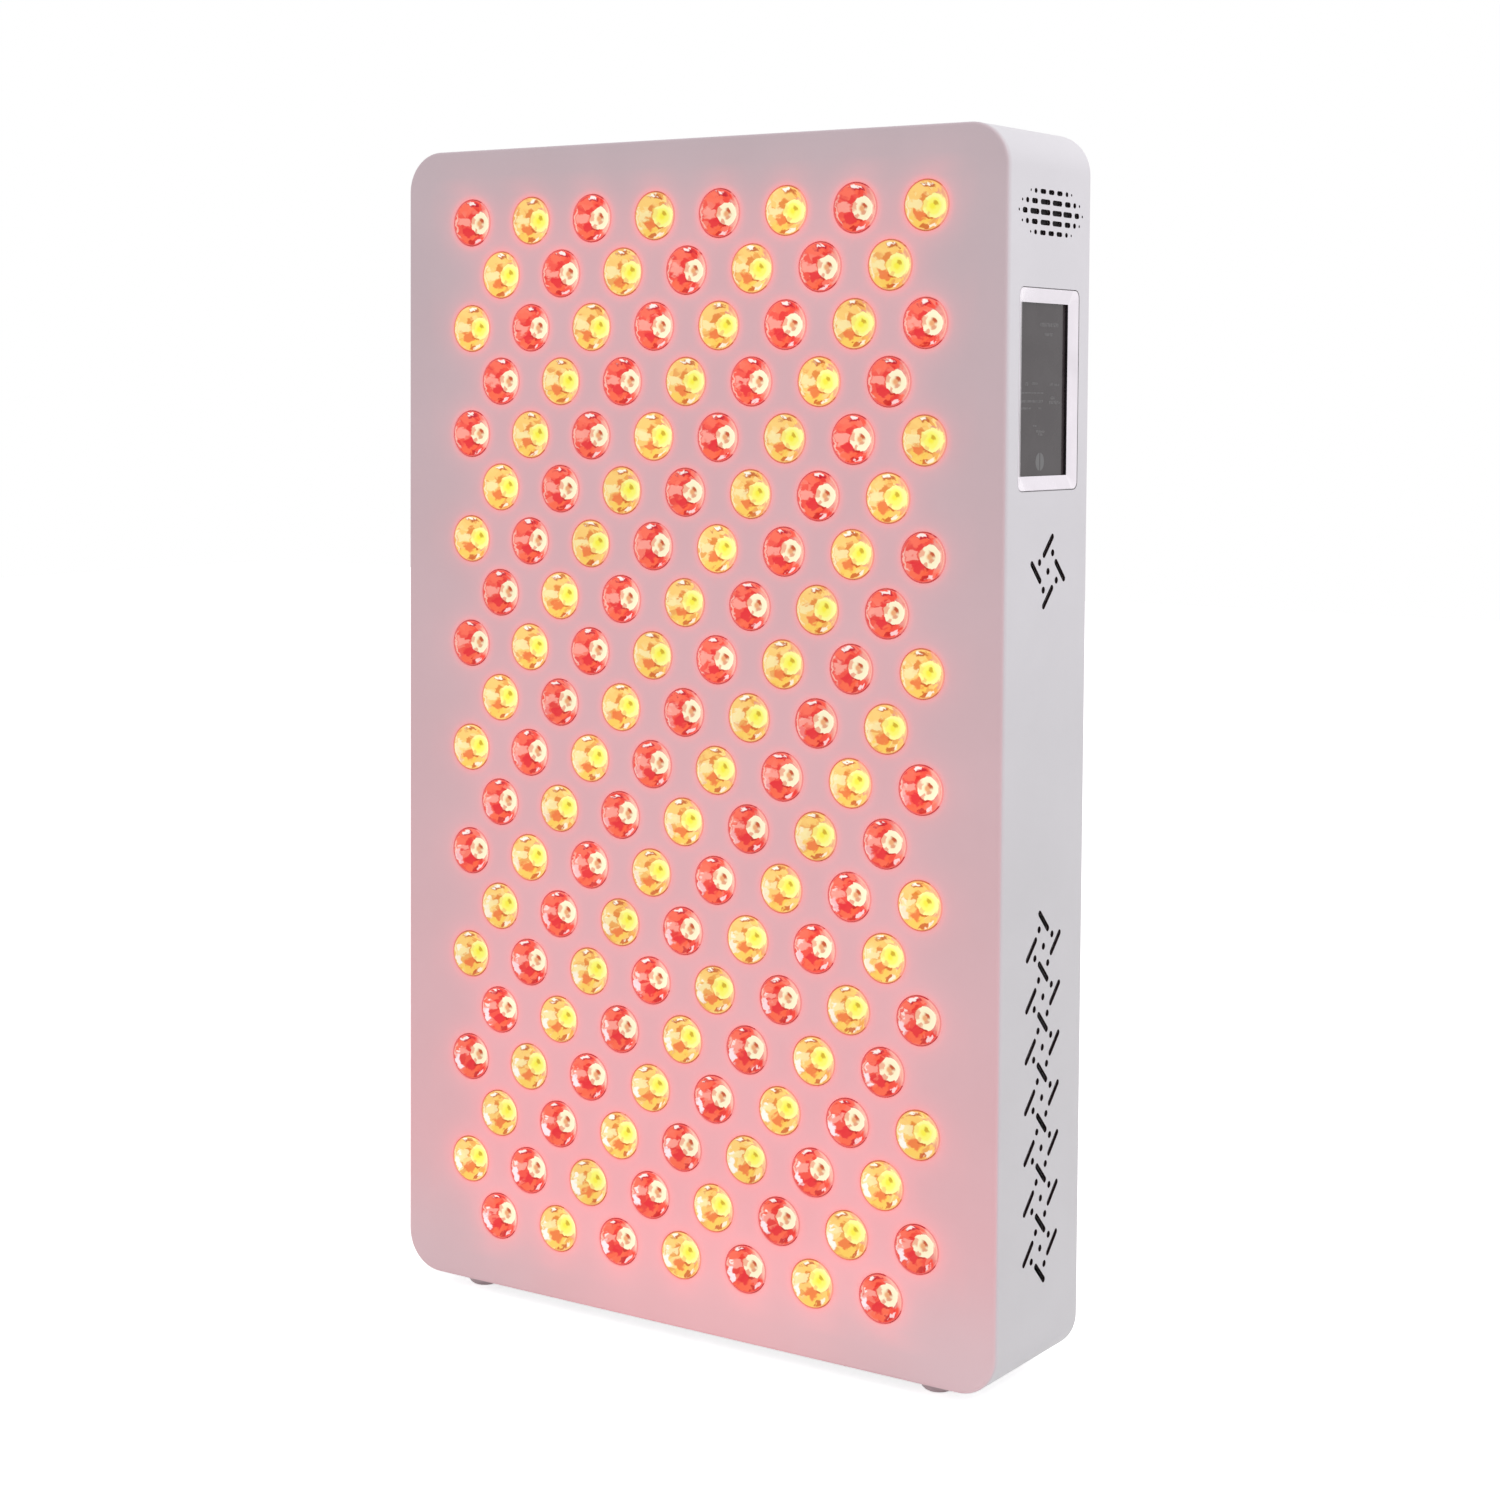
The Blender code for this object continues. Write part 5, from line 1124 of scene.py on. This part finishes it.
screw_zinc = made_of(
    "screw_zinc_plate", brushed_metal, (0.62, 0.62, 0.64), 0.2, 0.00003,
    Stretch=(5.0, 5.0, 5.0), Gloss=0.12, Metallic=1.0,
)
for kind, length in (("cover_screw", 5.7), ("fan_screw", 9.7)):
    grids = [pan_screw(*place, length) for place in screw_places(kind)]
    screws = build(f"{kind}s", [(grids, True)], 32)
    paint(screws, screw_zinc)
    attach(screws, "panel")
    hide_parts(*[f"{kind}_{number}" for number in range(1, 9)])

# Mains inlet: a black moulded housing clipped into the cover, with the socket for the
# lead, a pocket for the fuse drawer and one for the rocker.
inlet_low, inlet_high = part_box("power_inlet")
face_y = inlet_high.y
socket_z, drawer_z, rocker_z = inlet_z - 0.0128, inlet_z + 0.0022, inlet_z + 0.0152
body = rounded_outline(inlet_x, inlet_z, 0.0272, 0.0480, 0.0012, 5, 3)
flange = rounded_outline(inlet_x, inlet_z, 0.0316, 0.0524, 0.0025, 5, 3)
outlines = [inset(body, 0.0004), body, body, flange, flange]
outlines += [inset(flange, amount) for amount in (0.0001, 0.0003, 0.0007)]
seat = cover_high.y + 0.00002
heights = [inlet_low.y, inlet_low.y + 0.0004, seat, seat, face_y - 0.0007, face_y - 0.0003]
heights += [face_y - 0.0001, face_y]
housing = build("inlet_housing", [(loft(outlines, heights, 1), True)], 32)


def socket_outline(grow=0.0):
    """A rectangle with its two upper corners cut off, and every corner a little round."""
    half, low, high, cut = 0.0120, -0.00825, 0.00825, 0.0048
    corners = np.array((
        (half, low), (half, high - cut), (half - cut, high), (cut - half, high),
        (-half, high - cut), (-half, low),
    ))
    share = np.array((0.06, 0.5, 0.94))[:, None]
    following = np.roll(corners, -1, 0)
    sides = [a * (1 - share) + b * share for a, b in zip(corners, following)]
    return inset(np.concatenate(sides), -grow) + (inlet_x, socket_z)


socket = socket_outline()
socket_depths = (face_y - 0.0170, face_y - 0.0008, face_y + 0.0005)
tools = [loft((socket, socket, socket_outline(0.0013)), socket_depths, 1)]
for z, width, height, radius, depth in (
    (drawer_z, 0.0216, 0.0068, 0.0005, 0.0223), (rocker_z, 0.0190, 0.0110, 0.0006, 0.0100),
):
    room = rounded_outline(inlet_x, z, width, height, radius)
    tools.append(loft((room, room), (face_y - depth, face_y + 0.0010), 1))
punch(housing, tools, 32)
paint(housing, black_plastic)
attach(housing, "panel")
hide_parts("power_inlet")

# Inlet pins: three nickel-plated brass blades pressed through the housing, with
# chamfered tips in front and solder tails behind.
pin_size = (0.0020, 0.0040)
pin_grids = []
for name in ("live", "earth", "neutral"):
    low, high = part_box(f"inlet_pin_{name}")
    pin = rounded_outline(*box_middle(f"inlet_pin_{name}")[::2], *pin_size, 0.0003, 3, 1)
    outlines = [inset(pin, amount) for amount in (0.0005, 0, 0, 0.0002, 0.0006)]
    heights = (low.y, low.y + 0.0008, high.y - 0.0014, high.y - 0.0005, high.y)
    pin_grids.append(loft(outlines, heights, 1))
pins = build("inlet_blades", [(pin_grids, True)], 25)
nickel = made_of(
    "nickel_plate", brushed_metal, (0.74, 0.70, 0.62), 0.15, 0.00003,
    Stretch=(4.0, 0.6, 4.0), Gloss=0.16, Metallic=1.0,
)
paint(pins, nickel)
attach(pins, "panel")
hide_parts("inlet_pin_live", "inlet_pin_earth", "inlet_pin_neutral")

# Fuse drawer: a black moulded tray for two fuses that pulls straight out, with a lip and
# a notch for a fingernail.
low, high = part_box("fuse_drawer")
tray = rounded_outline(inlet_x, drawer_z, 0.0210, 0.0062, 0.0004, 4, 3)
drawer_lip = rounded_outline(inlet_x, drawer_z, 0.0226, 0.0062, 0.0008, 4, 3)
outlines = [inset(tray, 0.0004), tray, tray, drawer_lip, drawer_lip]
outlines += [inset(drawer_lip, amount) for amount in (0.0001, 0.0003, 0.0006)]
heights = (low.y, low.y + 0.0004, face_y + 0.00005, face_y + 0.00005, high.y - 0.0005)
heights += (high.y - 0.0002, high.y - 0.00005, high.y)
drawer = build("fuse_tray", [(loft(outlines, heights, 1), True)], 32)
notch = slot_outline(inlet_x, drawer_z - 0.0014, 0.0090, 0.0016)
punch(drawer, [loft((inset(notch, 0.0002), notch), (high.y - 0.0007, high.y + 0.0004), 1)], 32)
paint(drawer, black_plastic)
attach(drawer, "drawer")
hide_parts("fuse_drawer")

# Power rocker: a red moulded rocker on a pin across the pocket, pressed in at its ON end,
# with an I and an O printed on its dished face.
pivot = (inlet_x, face_y - 0.0030)
tilt = math.radians(10)
rocker_half, end_round, face_height, face_dip = 0.0088, 0.0005, 0.0032, 0.0012


def dish(u):
    """The height of the rocker's face over its pivot: a parabola, rounded off at its ends."""
    past = np.clip(np.abs(u) - (rocker_half - end_round), 0, end_round)
    rounding = end_round - np.sqrt(end_round**2 - past**2)
    return face_height + face_dip * (u / rocker_half) ** 2 - rounding


def tipped(points):
    """Points in the rocker's own frame, turned about the pivot to where it rests."""
    u, v, w = np.moveaxis(points, -1, 0)
    c, s = math.cos(tilt), math.sin(tilt)
    return stacked(pivot[0] + c * u + s * v, pivot[1] - s * u + c * v, rocker_z + w)


across = rocker_half * np.sin(np.linspace(1, -1, 33) * math.pi / 2)
face = np.stack((across, dish(across)), -1)
keel = np.array(((-0.0074, 0.0), (-0.0060, -0.0040), (0.0060, -0.0040), (0.0074, 0.0)))
rocker_side = np.concatenate((face, keel))
rocker = build("rocker_cap", [(tipped(slab(rocker_side, -0.0052, 0.0052, 2, 0.0004)), True)], 32)
rocker_red = made_of(
    "rocker_moulding", moulded_grain, (0.42, 0.012, 0.014), 0.08, 0.00003, Gloss=0.26,
    Coat_Weight=0.3, Coat_Roughness=0.1,
)
paint(rocker, rocker_red)
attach(rocker, "rocker")
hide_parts("power_rocker")

line = slab(slot_outline(0.0050, 0.0, 0.0040, 0.0008, math.pi / 2), -0.0002, 0.00006, 1, 0.00002, 1)
outer, inner = [circle_outline(-0.0050, 0, radius, 32) for radius in (0.0021, 0.0014)]
ring = loft((outer, outer, inner, inner), (-0.0002, 0.00006, 0.00006, -0.0002), 1, ring=True)
for mark in (line, ring):
    mark[..., 1] += dish(mark[..., 0])
prints = build("rocker_marks", [(tipped(line), True), (tipped(ring), True)], 32)
print_white = made_of("rocker_print", moulded_grain, (0.80, 0.79, 0.77), 0.1, 0.00002, Gloss=0.1)
paint(prints, print_white)
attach(prints, "rocker")

# Feet: four soft, greyish pink rubber bumpers screwed under the housing, domed and hollow
# round their screws.
foot_profile = np.array((
    (2.6, 1.0), (2.8, 0.1), (3.1, 0.0), (4.4, 0.0), (5.2, 0.2), (6.0, 0.7), (6.7, 1.4),
    (7.4, 2.4), (7.9, 3.6), (8.1, 4.6), (7.9, 5.0), (7.5, 5.1),
)) / 1000
corners = [f"foot_{end}_{side}" for end in ("front", "rear") for side in ("left", "right")]
foot_grids = [turned(foot_profile, 40, (*box_middle(name)[:2], 0), 2) for name in corners]
feet = build("rubber_feet", [(foot_grids, True)], 40)
rubber = made_of("foot_rubber_grain", moulded_grain, (0.68, 0.52, 0.55), 0.4, 0.00006, Gloss=-0.1)
paint(feet, rubber)
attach(feet, "panel")
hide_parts(*corners)

# Studio: a white floor that fades into a white background, a soft lamp to the right of
# the panel, and even light all round. The camera stands to the right and looks across.
def straight_seen(bench):
    """One for rays that the camera sees by itself, in a mirror or through glass."""
    path = bench.node("ShaderNodeLightPath").outputs
    seen = bench.math("MAXIMUM", path["Is Camera Ray"], path["Is Glossy Ray"])
    return bench.math("MAXIMUM", seen, path["Is Transmission Ray"])


floor_half = 4.0
floor_grid = np.linspace(-floor_half, floor_half, 9)
floor = build("floor", [(stacked(floor_grid[None, :], floor_grid[:, None], 0.0), False)])
material, bench, shader = finish("floor_paper", Roughness=0.9)
paper = bench.range(bench.noise(bench.place(), 40.0, 3.0), 0.3, 0.7, 0.84, 0.87, "LINEAR")
white = (1.0, 1.0, 1.0)
strength = bench.times(straight_seen(bench), 0.72)
bench.fill(
    shader.inputs, Base_Color=bench.tinted(white, paper), Emission_Color=white, Emission_Strength=strength
)
paint(floor, material)

world = bpy.data.worlds.new("studio")
world.use_nodes = True
bpy.context.scene.world = world
bench = Bench(world.node_tree)
background = world.node_tree.nodes["Background"]
strength = bench.range(straight_seen(bench), 0.0, 1.0, 0.745, 1.0, "LINEAR")
bench.fill(background.inputs, Color=white, Strength=strength)

lamp = bpy.data.lights.new("side_lamp", "AREA")
lamp.size = 0.5
lamp.energy = 2.4
lamp_place, lamp_aim = np.array((0.75, 0.25, 1.05)), np.array((0.15, 0.0, 0.45))
side_lamp = bpy.data.objects.new("side_lamp", lamp)
bpy.context.scene.collection.objects.link(side_lamp)
beam = (lamp_aim - lamp_place) / np.linalg.norm(lamp_aim - lamp_place)
side_lamp.location = lamp_place
side_lamp.rotation_euler = (math.acos(-beam[2]), 0, math.atan2(beam[1], beam[0]) - math.pi / 2)

camera = bpy.data.cameras.new("portrait")
camera.lens = 66.70
camera.sensor_width = 36.0
camera.shift_x = 0.0295
camera.shift_y = -0.1383
stand = bpy.data.objects.new("portrait", camera)
bpy.context.scene.collection.objects.link(stand)
right = np.array((0.8253, 0.5648, 0.0057))
up = np.array((-0.0338, 0.0393, 0.9987))
back = np.array((0.5638, -0.8243, 0.0515))
stance = np.eye(4)
stance[:3, :4] = np.stack((right, up, back, (0.6594, front_y - 0.9487, mid_z + 0.1422)), -1)
stand.matrix_world = Matrix(stance.tolist())
bpy.context.scene.camera = stand

view = bpy.context.scene.view_settings
view.view_transform = "Standard"
